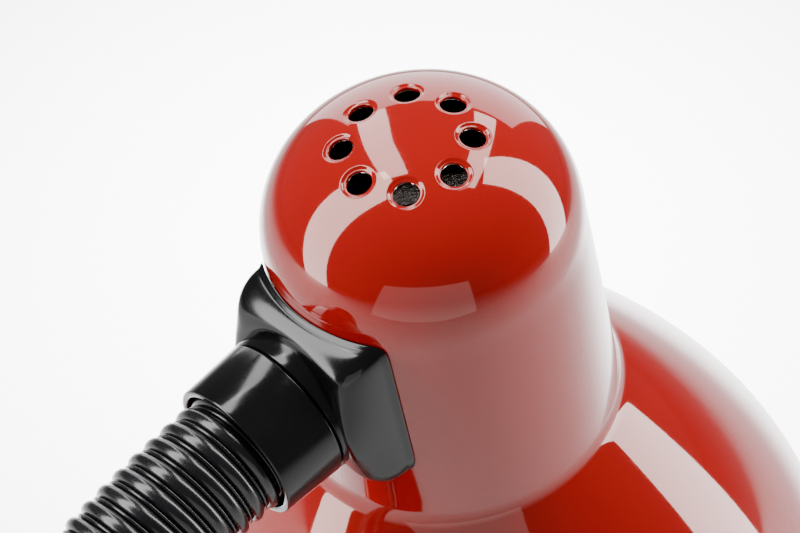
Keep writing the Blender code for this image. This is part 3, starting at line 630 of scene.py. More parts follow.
class Finishes(Enum):
    """Every finish on the lamp, each named for what it is."""

    # Vitreous enamel on pressed steel: a hard gloss over a deep red, with a faint long ripple.
    # Inside, the bell is white and the cap carries painted shade.
    RED_ENAMEL = replace(RED, extra=white_bell_painted_shade_cap)
    # The same enamel where the sheet has only its outer side to show.
    RED_COVER = replace(RED, name="red_enamel_cover")
    # Injection moulded ABS from a polished tool: deep black, glossy, with faint flow unevenness.
    BLACK_ABS = Finish(
        "black_gloss_abs", "0A0A0B", "111113", 0.13, ior=1.54, patch_mm=12, grain_mm=0.4,
        rough_spread=0.06, bump_mm=0.006, bump_size_mm=6.0,
    )
    # Matt black moulding from a spark eroded tool.
    BLACK_PLASTIC = Finish(
        "black_eroded_plastic", "101010", "191919", 0.55, ior=1.5, patch_mm=6, grain_mm=0.3,
        rough_spread=0.12, bump_mm=0.02, bump_size_mm=0.35,
    )
    # Phenolic of the lamp holder: brown-black, hard and half glossy.
    PHENOLIC = Finish(
        "black_phenolic", "0D0B0A", "171311", 0.28, ior=1.6, patch_mm=5, grain_mm=0.4,
        rough_spread=0.1, bump_mm=0.006, bump_size_mm=0.8,
    )
    # Black lacquered steel wire: glossy where it stands proud, with drawing lines.
    BLACK_WIRE = Finish(
        "black_lacquered_wire", "0B0B0D", "17171A", 0.24, ior=1.55, coat=0.35, coat_roughness=0.12,
        patch_mm=4, grain_mm=0.3, rough_spread=0.1, bump_mm=0.008, bump_size_mm=0.7,
    )
    # Matt black stoved paint on the bottom plate.
    BLACK_PAINT = Finish(
        "black_stoved_paint", "121212", "1C1C1C", 0.5, ior=1.5, patch_mm=15, grain_mm=0.5,
        rough_spread=0.1, bump_mm=0.015, bump_size_mm=0.6,
    )
    # Bright zinc plate on turned and pressed steel.
    ZINC = Finish(
        "bright_zinc_plate", "B9BCBE", "9DA0A2", 0.3, metallic=1.0, patch_mm=5, grain_mm=0.4,
        rough_spread=0.14, bump_mm=0.004, bump_size_mm=0.4,
    )
    # Black passivated zinc plate, on the parts that the vents could show.
    BLACK_ZINC = Finish(
        "black_passivated_zinc", "141416", "1E1E20", 0.42, metallic=0.6, patch_mm=5, grain_mm=0.4,
        rough_spread=0.14, bump_mm=0.004, bump_size_mm=0.4,
    )
    # Rolled brass.
    BRASS = Finish(
        "rolled_brass", "C9A24A", "A98233", 0.28, metallic=1.0, patch_mm=5, grain_mm=0.4,
        rough_spread=0.14, bump_mm=0.004, bump_size_mm=0.4,
    )
    # Nickel plate on the bulb's brass shell.
    NICKEL = Finish(
        "nickel_plate", "C9C4B8", "ABA598", 0.22, metallic=1.0, patch_mm=4, grain_mm=0.4,
        rough_spread=0.12, bump_mm=0.004, bump_size_mm=0.5,
    )
    # Sand cast grey iron.
    IRON = Finish(
        "sand_cast_iron", "3A3836", "524B44", 0.62, metallic=0.7, patch_mm=6, grain_mm=0.8,
        rough_spread=0.2, bump_mm=0.15, bump_size_mm=1.2,
    )
    # Closed cell foam rubber.
    FOAM = Finish(
        "foam_rubber", "161616", "232323", 0.85, ior=1.45, patch_mm=3, grain_mm=0.4,
        rough_spread=0.1, bump_mm=0.12, bump_size_mm=0.6,
    )
    # Glazed steatite.
    CERAMIC = Finish(
        "glazed_steatite", "E4DFD2", "D8D1C0", 0.18, ior=1.55, patch_mm=6, grain_mm=0.6,
        rough_spread=0.08, bump_mm=0.008, bump_size_mm=1.5,
    )
    # White nylon of the terminal block.
    WHITE_NYLON = Finish(
        "white_nylon", "E2E0D8", "D6D3C8", 0.42, ior=1.53, patch_mm=6, grain_mm=0.5,
        rough_spread=0.1, bump_mm=0.006, bump_size_mm=0.8,
    )
    # Pearl glass: etched inside, polished outside.
    PEARL_GLASS = Finish(
        "pearl_glass", "F4F2EC", "EDEAE2", 0.28, ior=1.5, coat=1.0, coat_roughness=0.02,
        patch_mm=12, grain_mm=0.6, rough_spread=0.06, bump_mm=0.004, bump_size_mm=3.0, extra=frosted,
    )
    # Extruded PVC sheath.
    PVC = Finish(
        "grey_pvc_sheath", "8E8E8C", "9C9C9A", 0.4, ior=1.53, patch_mm=5, grain_mm=0.5,
        rough_spread=0.1, bump_mm=0.01, bump_size_mm=0.7,
    )


def dress(
    piece: bpy.types.Object,
    finish: Finishes,
    place: Place | None,
    nodes: Sequence[str] = (),
) -> bpy.types.Object:
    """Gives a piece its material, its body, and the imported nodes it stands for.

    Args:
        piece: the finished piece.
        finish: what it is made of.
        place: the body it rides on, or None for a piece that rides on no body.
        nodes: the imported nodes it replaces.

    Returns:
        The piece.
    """
    piece.data.materials.clear()
    piece.data.materials.append(finish.value.material())
    if place:
        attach(piece, place.value)
    if nodes:
        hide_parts(*nodes)
    triangles = sum(len(p.vertices) - 2 for p in piece.data.polygons)
    LOG.info("%s: %d triangles in %s", piece.name, triangles, finish.value.name)
    return piece


def dress_softened(
    name: str, node: str, width: float, finish: Finishes, place: Place
) -> bpy.types.Object:
    """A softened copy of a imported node, dressed and standing for it."""
    return dress(softened(name, node, width), finish, place, [node])


# Shade -----------------------------------------------------------------------------------------
@dataclass(frozen=True)
class Shade:
    """The pressed shade: dome, cone, fillet, bell and rim bead in one sheet, with eight vents."""

    wall: float = 0.0008
    cap_radius: float = 0.0310
    dome_height: float = 0.0254
    dome_power: float = 2.35
    cone_radius: float = 0.0336
    cone_length: float = 0.0470
    fillet_radius: float = 0.0090
    flare_angle: float = 52.0
    flare_pull: float = 0.0180
    skirt_pull: float = 0.0280
    bell_radius: float = 0.0775
    bell_depth: float = 0.1360
    rim_depth: float = 0.1400
    bead: float = 0.0012
    vents: int = 8
    vent_circle: float = 0.0123
    vent_radius: float = 0.0025
    dimple_radius: float = 0.0035
    dimple_depth: float = 0.00036
    vent_lip: float = 0.00022
    patch_half_width: float = 0.0050
    per_sector: int = 24

    def dome(self, radius: Array) -> Array:
        """The dome's height: a superellipse, (r / R)^p + (z / H)^p = 1."""
        share = np.clip(radius / self.cap_radius, 0, 1)
        return self.dome_height * (1 - share**self.dome_power) ** (1 / self.dome_power)

    def dome_slope(self, radius: Array) -> Array:
        """The dome's dz / dr."""
        p = self.dome_power
        share = np.clip(radius / self.cap_radius, 0, 0.999)
        fall = (1 - share**p) ** (1 / p - 1) * share ** (p - 1)
        return -self.dome_height * fall / self.cap_radius

    def outline(self) -> Array:
        """The outside from the vents' outer circle down to the bead, as (radius, height) points.

        The dome is sampled evenly in the superellipse's angle; the cone is straight; a concave arc
        joins it to the bell, which is a cubic Bezier curve down to the upright skirt.
        """
        start = self.vent_circle + self.patch_half_width
        first = math.acos((start / self.cap_radius) ** (self.dome_power / 2))
        angle = np.linspace(first, 0, 40)
        exponent = 2 / self.dome_power
        dome = np.stack(
            [self.cap_radius * np.cos(angle) ** exponent, self.dome_height * np.sin(angle) ** exponent], 1
        )
        dome[0] = start, self.dome(start)
        share = np.linspace(0, 1, 16)[1:, None]
        shoulder, cone_end = np.array([self.cap_radius, 0]), np.array([self.cone_radius, -self.cone_length])
        cone = shoulder * (1 - share) + cone_end * share
        lean = math.atan2(self.cone_radius - self.cap_radius, self.cone_length)
        turn = math.radians(90 - self.flare_angle) - lean
        centre = cone_end + self.fillet_radius * np.array([math.cos(lean), math.sin(lean)])
        angle = math.pi + lean + turn * np.linspace(0, 1, 12)[1:]
        fillet = centre + self.fillet_radius * np.stack([np.cos(angle), np.sin(angle)], 1)
        flare = math.radians(self.flare_angle)
        c0 = fillet[-1]
        c1 = c0 + self.flare_pull * np.array([math.cos(flare), -math.sin(flare)])
        c2 = np.array([self.bell_radius, self.skirt_pull - self.bell_depth])
        c3 = np.array([self.bell_radius, -self.bell_depth])
        t = np.linspace(0, 1, 44)[1:, None]
        bell = (1 - t) ** 3 * c0 + 3 * (1 - t) ** 2 * t * c1 + 3 * (1 - t) * t**2 * c2 + t**3 * c3
        return np.concatenate([dome, cone, fillet, bell])

    def inner(self, outline: Array) -> Array:
        """The outline moved in by the wall, square to itself."""
        along = np.gradient(outline, axis=0)
        along /= np.linalg.norm(along, axis=1)[:, None]
        moved = outline + self.wall * np.stack([along[:, 1], -along[:, 0]], 1)
        moved[0] = self.under(outline[0, 0])
        return moved

    def under(self, radius: float) -> Array:
        """The dome's inside below the outside's point at a radius."""
        slope = float(self.dome_slope(np.array(radius)))
        normal = np.array([-slope, 1.0]) / math.hypot(slope, 1)
        return np.array([radius, float(self.dome(np.array(radius)))]) - self.wall * normal

    def bead_turn(self) -> Array:
        """The rim's bead: three quarters of a circle rolled outwards from the skirt."""
        centre = np.array([self.bell_radius + self.bead * 0.4, self.bead - self.rim_depth])
        angle = np.radians(np.linspace(100, -150, 20))
        return centre + self.bead * np.stack([np.cos(angle), np.sin(angle)], 1)

    def sector(self) -> Array:
        """One vent's patch of the sheet, both sides of it, as a (rows, columns, 3) grid.

        Columns go round the hole, along the patch's border: two arcs and two radii, a quarter of
        the columns on each. Rows go from the border outside, in over the pressed rim, down the
        hole's wall and back out to the border inside. Between the border and the rim a row is
        their mixture. A row's offset is taken square to the dome.
        """
        n = self.per_sector
        half = math.pi / self.vents
        t = np.arange(n) / n
        low, high = self.vent_circle - self.patch_half_width, self.vent_circle + self.patch_half_width
        across = (high - low) * t
        radius = np.concatenate([np.full(n, low), low + across, np.full(n, high), high - across])
        angle = half * np.concatenate([2 * t - 1, np.ones(n), 1 - 2 * t, -np.ones(n)])
        border = np.stack([radius * np.cos(angle), radius * np.sin(angle)], 1)
        centre = np.array([self.vent_circle, 0.0])
        away = border - centre
        length = np.linalg.norm(away, axis=1)[:, None]
        away = away / length
        lean = 1 / math.hypot(1, float(self.dome_slope(np.array(self.vent_circle))))
        squeeze = np.array([lean, 1.0])
        rim, hole, depth, wall = self.dimple_radius, self.vent_radius, self.dimple_depth, self.wall
        lip = self.vent_lip
        rows = [(share, rim, 0.0) for share in np.linspace(1, 0.0, 12)[:-1] ** 1.2]
        slope = np.linspace(0, 1, 9)
        rows += [(0.0, rim + (hole + lip - rim) * x, depth * (3 * x**2 - 2 * x**3)) for x in slope]
        turn = np.radians(np.linspace(0, 90, 6)[1:])
        rows += [(0.0, hole + lip * (1 - math.sin(a)), depth + lip * (1 - math.cos(a))) for a in turn]
        bottom = depth + wall * 0.95
        rows += [(0.0, hole, bottom - 0.0001), (0.0, hole + 0.0001, bottom)]
        rows += [
            (0.0, hole + (rim - hole) * x, bottom + (wall - bottom) * (3 * x**2 - 2 * x**3))
            for x in (0.3, 0.6, 1.0)
        ]
        rows += [(share, rim, wall) for share in (0.3, 0.65, 1.0)]
        table = np.array(rows)
        share, reach, drop = (table[:, k, None, None] for k in range(3))
        plan = centre + (away * squeeze)[None] * reach
        plan = plan * (1 - share) + border[None] * share
        r = np.linalg.norm(plan, axis=2)
        slope_here = self.dome_slope(r)
        scale = 1 / np.hypot(slope_here, 1)
        normal = np.stack(
            [-slope_here * plan[..., 0] / r * scale, -slope_here * plan[..., 1] / r * scale, scale], -1
        )
        surface = np.concatenate([plan, self.dome(r)[..., None]], -1)
        return surface - normal * drop

    def grids(self) -> list[tuple[Array, bool, bool]]:
        """Every part of the sheet, in the head's frame: crown, vents' patches, and the rest."""
        sides = self.vents * self.per_sector
        half = math.pi / self.vents
        made = []
        crown = np.linspace(0, self.vent_circle - self.patch_half_width, 8)
        outer = np.stack([crown, self.dome(crown)], 1)
        inner = np.array([self.under(r) for r in crown])
        inner[0, 0] = 0.0
        shift = math.pi / 2 - half

        def ring(profile: Array) -> Array:
            """A profile carried round in step with the patches' columns."""
            turn = TAU * np.arange(sides) / sides + shift
            return np.stack(
                [
                    profile[:, :1] * np.cos(turn),
                    profile[:, :1] * np.sin(turn),
                    np.broadcast_to(profile[:, 1:2], (len(profile), sides)),
                ],
                -1,
            )

        patch_inner = self.sector()[-1]
        inner[-1] = math.hypot(*patch_inner[0, :2]), patch_inner[0, 2]
        made.append((ring(outer), False, True))
        made.append((ring(inner), False, True))
        outline = self.outline()
        inside = self.inner(outline)
        mark = 2 * self.per_sector
        inside[0] = math.hypot(*patch_inner[mark, :2]), patch_inner[mark, 2]
        body = np.concatenate([outline, self.bead_turn(), inside[::-1]])
        made.append((ring(body), False, True))
        patch = self.sector()
        for k in range(self.vents):
            a = math.pi / 2 + TAU * k / self.vents
            turn = np.array([[math.cos(a), math.sin(a), 0], [-math.sin(a), math.cos(a), 0], [0, 0, 1]])
            made.append((patch @ turn, False, True))
        return made

    def mark_inside(self, piece: bpy.types.Object) -> None:
        """Writes the attribute that tells the red outside, 0, the white bell, 1, and the cap's painted shade,
        2.

        A face is inside where its normal points at the shade's axis or down into the dome.
        """
        mesh = piece.data
        count = len(mesh.polygons)
        normal = np.zeros(count * 3, np.float32)
        centre = np.zeros(count * 3, np.float32)
        mesh.polygons.foreach_get("normal", normal)
        mesh.polygons.foreach_get("center", centre)
        local = (centre.reshape(-1, 3) - HEAD.origin) @ HEAD.axes.T
        facing = normal.reshape(-1, 3) @ HEAD.axes.T
        focus = np.array([0.0, 0.0, -0.030])
        inward = np.einsum("ij,ij->i", facing, local - focus) < 0
        near_hole = (local[:, 2] > 0.018) & (facing[:, 2] > -0.2)
        in_bead = local[:, 2] < self.bead * 2 - self.rim_depth
        # Inside faces above -0.050 in the cap get 2, where shade is painted in.
        value = np.where(inward & ~near_hole & ~in_bead, np.where(local[:, 2] > -0.050, 2.0, 1.0), 0.0)
        attribute = mesh.attributes.new("inside", "FLOAT", "FACE")
        attribute.data.foreach_set("value", value.astype(np.float32))

    def build(self) -> None:
        """Makes and dresses the shade."""
        piece = mesh_piece("shade_sheet", *merged(self.grids()), HEAD, sharp=75)
        self.mark_inside(piece)
        dress(piece, Finishes.RED_ENAMEL, Place.HEAD, ["shade"])


# Head mounting ---------------------------------------------------------------------------------
@dataclass(frozen=True)
class HeadMount:
    """What holds the shade on the neck: saddle and collar outside, bracket and nut inside."""

    top_half_width: float = 0.0170
    foot_half_width: float = 0.0192
    rise: float = 0.0190
    fall: float = 0.0173
    power: float = 16.0
    crescent: float = 0.0030
    boss_show: float = 0.0010
    seam: float = 0.0398
    base_radius: float = 0.0151
    rim_radius: float = 0.0145
    bore: float = 0.0131
    flange_in: float = 0.0416
    flange_out: float = 0.0440

    def on_cap(self, x: Array, z: Array, lift: float) -> Array:
        """Points of the cap's outside at (x, z), lifted off it: y is on a circle about the axis."""
        radius = 0.0310 + 0.0026 * (-z) / 0.0470 + lift
        return np.stack([x, np.sqrt(radius**2 - x**2), z], -1)

    def outline(self, share: Array) -> tuple[Array, Array]:
        """The saddle's back, seen along the neck: (x, z) of loops from the hole to the outline.

        Each loop is a superellipse, |u|^p + |v|^p = 1, whose power grows from 2 to self.power. The
        outermost is wider towards the bell: its width is linear in its height.

        Args:
            share: (loops, 1) of how far out each loop is, from 0 to 1.

        Returns:
            Two (loops, columns) arrays.
        """
        c, s = np.cos(self.angle()), np.sin(self.angle())
        power = 2 + (self.power - 2) * share**2
        reach = (np.abs(c) ** power + np.abs(s) ** power) ** (-1 / power)
        u, v = reach * c, reach * s
        height = v * np.where(v > 0, self.rise, self.fall)
        down = (self.rise - height) / (self.rise + self.fall)
        width = self.top_half_width + (self.foot_half_width - self.top_half_width) * down
        x = u * (THREAD_HOLE + (width - THREAD_HOLE) * share)
        z = v * THREAD_HOLE * (1 - share) + height * share
        return x, z - SOCKET_DEPTH

    @staticmethod
    def angle() -> Array:
        """The columns' angles about the neck's axis."""
        return TAU * (np.arange(256) + 0.5) / 256

    def ring(self, radius: float, y: float) -> Array:
        """One round loop about the neck's axis, as a row."""
        c, s = np.cos(self.angle()), np.sin(self.angle())
        return np.stack([radius * c, np.full_like(c, y), radius * s - SOCKET_DEPTH], -1)[None]

    def saddle_grid(self) -> Array:
        """The saddle as a closed ring of loops round the neck's axis.

        The body leaves the round boss nearly square to the neck's axis and rounds over to the cap:
        for q from 1 at the cap to 0 at the boss, it has spread by sin(pi q / 2)^0.87 and dropped
        by 1 - cos(pi q / 2)^0.91. More of the boss shows above and below than at the sides.
        """
        x, z = self.outline(np.linspace(0, 1, 12)[:, None])
        back = self.on_cap(x, z, GAP)
        edge = self.on_cap(x[-1:], z[-1:], 0.0007)
        foot = self.on_cap(x[-1:] * 0.985, (z[-1:] + SOCKET_DEPTH) * 0.985 - SOCKET_DEPTH, 0.0012)
        boss = self.ring(self.base_radius, self.seam - GAP)
        boss[..., 1] -= self.boss_show + self.crescent * np.sin(self.angle()) ** 2
        q = math.pi / 2 * np.linspace(1, 0, 30)[:, None, None]
        spread = np.sin(q) ** 0.87
        drop = 1 - np.cos(q) ** 0.91
        body = boss + (foot - boss) * np.concatenate([spread, drop, spread], -1)
        end = self.seam - GAP
        loops = [
            self.ring(self.base_radius, end - 0.0005), self.ring(self.base_radius - 0.0001, end - 0.0002),
            self.ring(self.base_radius - 0.0005, end), self.ring(self.base_radius - 0.0009, end),
            self.ring(THREAD_HOLE, end),
        ]
        return np.concatenate([back, edge, body, *loops])

    def build(self) -> None:
        """Makes and dresses the pieces along the neck's axis."""
        saddle = mesh_piece("saddle_moulding", *merged([(self.saddle_grid(), True, True)]), HEAD, sharp=38)
        dress(saddle, Finishes.BLACK_ABS, Place.HEAD, ["saddle"])
        collar = turned(
            "head_collar_moulding",
            [
                (THREAD_HOLE, self.seam), (self.base_radius, self.seam), (self.rim_radius, COLLAR_REACH),
                (self.bore, COLLAR_REACH), (self.bore, self.flange_in - GAP),
                (THREAD_HOLE, self.flange_in - GAP),
            ],
            NECK_AXIS, 0.0004, 192,
        )
        dress(collar, Finishes.BLACK_ABS, Place.NECK_END, ["head_collar"])
        ferrule = turned(
            "head_ferrule_turned",
            [
                (THREAD_BORE, 0.0203), (THREAD_RADIUS, 0.0203), (THREAD_RADIUS, self.flange_in),
                (FERRULE_RIM, self.flange_in), (FERRULE_RIM, self.flange_out),
                (FERRULE_SPIGOT, self.flange_out), (FERRULE_SPIGOT, self.flange_out + 0.0090),
                (THREAD_BORE, self.flange_out + 0.0090),
            ],
            NECK_AXIS, 0.0003,
        )
        dress(ferrule, Finishes.ZINC, Place.NECK_END, ["head_ferrule"])
        nut = hexagon_nut("head_nut_hex", NUT_CORNER, THREAD_HOLE, 0.0213, 0.0255, NECK_AXIS)
        dress(nut, Finishes.ZINC, Place.NECK_END, ["head_nut"])
        profile = tube(WASHER_RADIUS, THREAD_HOLE, 0.0256, 0.0267)
        washer = turned("head_washer_ring", profile, NECK_AXIS, 0.0002)
        dress(washer, Finishes.ZINC, Place.HEAD, ["head_washer"])
        dress_softened("cap_shim", "inner_shim", 0.0002, Finishes.BLACK_PLASTIC, Place.HEAD)
        dress_softened("bent_bracket", "holder_bracket", 0.0003, Finishes.BLACK_ZINC, Place.HEAD)


# Neck ------------------------------------------------------------------------------------------
@dataclass(frozen=True)
class WoundNeck:
    """The neck: a round wire wound tight, with a flatter wedge wire between its turns."""

    pitch: float = 0.0039
    crest: float = 0.01245
    round_wire: float = 0.00148
    wedge_crest: float = 0.01172
    wedge_base: float = 0.0098
    wedge_half: float = 0.00080
    per_turn: int = 56
    tuck: float = 0.0080

    def round_section(self) -> Array:
        """The round wire's section as (along the neck, out from its axis), a circle."""
        angle = TAU * np.arange(16) / 16
        centre = self.crest - self.round_wire
        return np.stack([self.round_wire * np.cos(angle), centre + self.round_wire * np.sin(angle)], 1)

    def wedge_section(self) -> Array:
        """The wedge wire's section: a triangle with a rounded crest, its base inwards."""
        middle = self.pitch / 2
        corners = [
            (middle - self.wedge_half, self.wedge_base), (middle - 0.00040, self.wedge_crest - 0.0003),
            (middle, self.wedge_crest + 0.0002), (middle + 0.00040, self.wedge_crest - 0.0003),
            (middle + self.wedge_half, self.wedge_base),
        ]
        return eased(corners, 0.0005, True, 3)

    def turns(self, start: float, end: float, section: Array) -> Array:
        """A wire's turns from start to end along the neck, its section carried on a helix.

        A point (a, b) of the section at wire angle u lies at distance pitch * u / 2 pi + a along
        the centre line, and b out from it at angle u. The first and last rows close to a point.

        Args:
            start: where the turns begin, in metres along the neck.
            end: where they end.
            section: (n, 2) points.

        Returns:
            The (rows, n, 3) grid.
        """
        count = max(2, round((end - start) / self.pitch * self.per_turn))
        u = TAU * np.linspace(start, end, count + 1) / self.pitch
        u = np.concatenate([u[:1], u, u[-1:]])[:, None]
        middle = section.mean(0)
        shape = np.broadcast_to(section[None], (len(u), *section.shape)).copy()
        shape[[0, -1]] = middle
        s = self.pitch * u / TAU + shape[..., 0]
        point, _, normal = NECK.along(s)
        across = np.array([1.0, 0, 0])
        out = np.cos(u)[..., None] * across + np.sin(u)[..., None] * normal
        return point + out * shape[..., 1:2]

    def build(self) -> None:
        """Makes one piece of neck for each joint, between the bodies on either side of it."""
        for k in range(NECK.joints):
            start = -self.tuck if k == 0 else k * NECK.spacing
            end = NECK.length + self.tuck if k == NECK.joints - 1 else (k + 1) * NECK.spacing
            grids = [
                (self.turns(start, end, self.round_section()), False, True),
                (self.turns(start, end, self.wedge_section()), False, True),
            ]
            piece = mesh_piece(f"neck_turns_{k + 1:02d}", *merged(grids), level(), sharp=60)
            nodes = ["neck_root"] if k == 0 else [f"neck_link_{k:02d}"]
            if k == NECK.joints - 1:
                nodes.append("neck_tip")
            self.bend(piece, k)
            dress(piece, Finishes.BLACK_WIRE, None, nodes)

    @staticmethod
    def bend(piece: bpy.types.Object, k: int) -> None:
        """Bakes a piece's placement into its mesh; the centre line's points at joints k and k + 1 are worked
        out but not used.
        """
        ends = NECK.along(np.array([k, k + 1]) * NECK.spacing)[0]
        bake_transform(piece)


# Base ------------------------------------------------------------------------------------------
@dataclass(frozen=True)
class Base:
    """The weighted base with its switch, inlet and the neck's foot."""

    radius: float = 0.0750
    height: float = 0.0280
    wall: float = 0.0009
    edge: float = 0.0100
    pad_radius: float = 0.0700
    pad_height: float = 0.0020
    plate_radius: float = 0.0736
    plate_low: float = 0.0023
    plate_top: float = 0.0039
    switch_y: float = -0.0400
    switch_half: tuple[float, float] = (0.0067, 0.0098)
    inlet_z: float = 0.0100
    inlet_radius: float = 0.0046

    def cover_profile(self) -> Array:
        """The pressed cover: a flat top, a quarter circle edge and a straight wall, and back."""
        low = self.pad_height - 0.0008
        angle = np.linspace(math.pi / 2, 0, 20)
        corner = np.array([self.radius - self.edge, self.height - self.edge])
        flat = np.linspace(0, self.radius - self.edge, 14)[:-1]
        arc = np.stack([np.cos(angle), np.sin(angle)], 1)
        top = np.stack([flat, np.full_like(flat, self.height)], 1)
        outside = np.concatenate([top, corner + self.edge * arc])
        under = np.stack([flat, np.full_like(flat, self.height - self.wall)], 1)
        inside = np.concatenate([under, corner + (self.edge - self.wall) * arc])
        hem = np.array(
            [
                [self.radius, low + 0.0003], [self.radius - self.wall / 2, low],
                [self.radius - self.wall, low + 0.0003],
            ]
        )
        return np.concatenate([outside, hem, inside[::-1]])

    @staticmethod
    def rod(radius: float, low: float, high: float) -> Array:
        """A closed rod's grid, for cutting a round hole."""
        return revolve(np.array([(0.0, low), (radius, low), (radius, high), (0.0, high)]), 48)

    def cover(self) -> None:
        """Makes the cover and cuts its holes: for the neck's thread, the switch and the inlet."""
        grid = revolve(self.cover_profile(), 192)
        piece = mesh_piece("base_cover_pressed", *merged([(grid, False, True)]), level(), sharp=75)
        self.cut(piece, "thread_cut", self.rod(THREAD_HOLE, 0.02, 0.04), FOOT)
        inlet = Frame(np.array([0, 0.060, self.inlet_z]), np.array([[1.0, 0, 0], [0, 0, -1], [0, 1, 0]]))
        self.cut(piece, "inlet_cut", self.rod(self.inlet_radius, 0.0, 0.03), inlet)
        box = np.array([[-1, -1], [1, -1], [1, 1], [-1, 1]]) * np.array(self.switch_half)
        ring = np.concatenate([box, np.zeros((4, 1))], 1)
        rows = np.stack([ring * 0, ring, ring + [0, 0, 0.02], ring * 0 + [0, 0, 0.02]])
        self.cut(piece, "switch_cut", rows, level(y=self.switch_y, z=0.020))
        dress(piece, Finishes.RED_COVER, Place.BASE, ["base_shell"])

    @staticmethod
    def cut(piece: bpy.types.Object, name: str, grid: Array, frame_: Frame) -> None:
        """Cuts a closed shape out of a piece, and applies the cut."""
        tool = mesh_piece(name, *merged([(grid, False, True)]), frame_)
        step = piece.modifiers.new(name, "BOOLEAN")
        step.operation = "DIFFERENCE"
        step.solver = "EXACT"
        step.object = tool
        graph = bpy.context.evaluated_depsgraph_get()
        result = bpy.data.meshes.new_from_object(piece.evaluated_get(graph))
        piece.modifiers.clear()
        piece.data = result
        bpy.data.objects.remove(tool)

    def switch(self) -> None:
        """Makes the rocker switch."""
        dress_softened("switch_frame", "switch_housing", 0.0006, Finishes.BLACK_ABS, Place.BASE)
        key = "switch_rocker_key"
        dress_softened(key, "switch_rocker", 0.0004, Finishes.BLACK_ABS, Place.ROCKER)
        for number in (1, 2):
            name, node = f"switch_tab_blade_{number}", f"switch_tab_{number}"
            dress_softened(name, node, 0.0001, Finishes.BRASS, Place.BASE)

    def underside(self) -> None:
        """Makes the pad, the plate and its screws."""
        pad = turned(
            "base_pad_foam",
            [(0, 0), (self.pad_radius, 0), (self.pad_radius, self.pad_height), (0, self.pad_height)],
            level(), 0.0006, 192,
        )
        dress(pad, Finishes.FOAM, Place.BASE, ["base_pad"])
        plate = turned(
            "base_plate_disc",
            [(0, self.plate_low), (self.plate_radius, self.plate_low), (self.plate_radius, self.plate_top),
             (0, self.plate_top)],
            level(), 0.0003, 192,
        )
        dress(plate, Finishes.BLACK_PAINT, Place.BASE, ["base_plate"])

    def inlet(self) -> None:
        """Makes the bush in the back wall."""
        axis = Frame(np.array([0, 0, self.inlet_z]), np.array([[1.0, 0, 0], [0, 0, -1], [0, 1, 0]]))
        bush = turned(
            "cord_inlet_bush_ring",
            [
                (0.0034, 0.0690), (0.0056, 0.0690), (0.0060, 0.0730), (0.0042, 0.0733), (0.0042, 0.0754),
                (0.0066, 0.0754), (0.0062, 0.0775), (0.0046, 0.0800), (0.0034, 0.0800),
            ],
            axis, 0.0004,
        )
        dress(bush, Finishes.BLACK_PLASTIC, Place.BASE, ["cord_inlet_bush"])

    def foot(self) -> None:
        """Makes the collar on the base and the ferrule, washer and nut below it."""
        collar = turned(
            "foot_collar_moulding",
            [
                (THREAD_HOLE, 0.0283), (0.0190, 0.0283), (0.0190, 0.0299), (0.0176, 0.0309), (0.0160, 0.0323),
                (0.0151, 0.0351), (0.0145, 0.0500), (0.0131, 0.0500), (0.0131, 0.0310),
                (THREAD_HOLE, 0.0310),
            ],
            FOOT, 0.0006, 192,
        )
        dress(collar, Finishes.BLACK_ABS, Place.BASE, ["foot_collar"])
        ferrule = turned(
            "foot_ferrule_turned",
            [
                (THREAD_BORE, 0.0120), (THREAD_RADIUS, 0.0120), (THREAD_RADIUS, 0.0313),
                (FERRULE_RIM, 0.0313), (FERRULE_RIM, 0.0337), (FERRULE_SPIGOT, 0.0337),
                (FERRULE_SPIGOT, 0.0427), (THREAD_BORE, 0.0427),
            ],
            FOOT, 0.0003,
        )
        dress(ferrule, Finishes.ZINC, Place.BASE, ["foot_ferrule"])
        washer = turned("foot_washer_ring", tube(WASHER_RADIUS, THREAD_HOLE, 0.0168, 0.0179), FOOT, 0.0002)
        dress(washer, Finishes.ZINC, Place.BASE, ["foot_washer"])
        nut = hexagon_nut("foot_nut_hex", NUT_CORNER, THREAD_HOLE, 0.0127, 0.0165, FOOT)
        dress(nut, Finishes.ZINC, Place.BASE, ["foot_nut"])

    def inside(self) -> None:
        """Dresses what the cover hides."""
        block = "terminal_block_moulding"
        dress_softened(block, "terminal_block", 0.0004, Finishes.WHITE_NYLON, Place.BASE)
        dress_softened("cast_weight", "base_weight", 0.0006, Finishes.IRON, Place.BASE)
        for node in ["terminal_screw_1", "terminal_screw_2", *(f"plate_screw_{n}" for n in (1, 2, 3))]:
            dress_softened(f"{node}_zinc", node, 0.0002, Finishes.ZINC, Place.BASE)

    def build(self) -> None:
        """Makes the whole base."""
        self.cover()
        self.switch()
        self.underside()
        self.inlet()
        self.foot()
        self.inside()


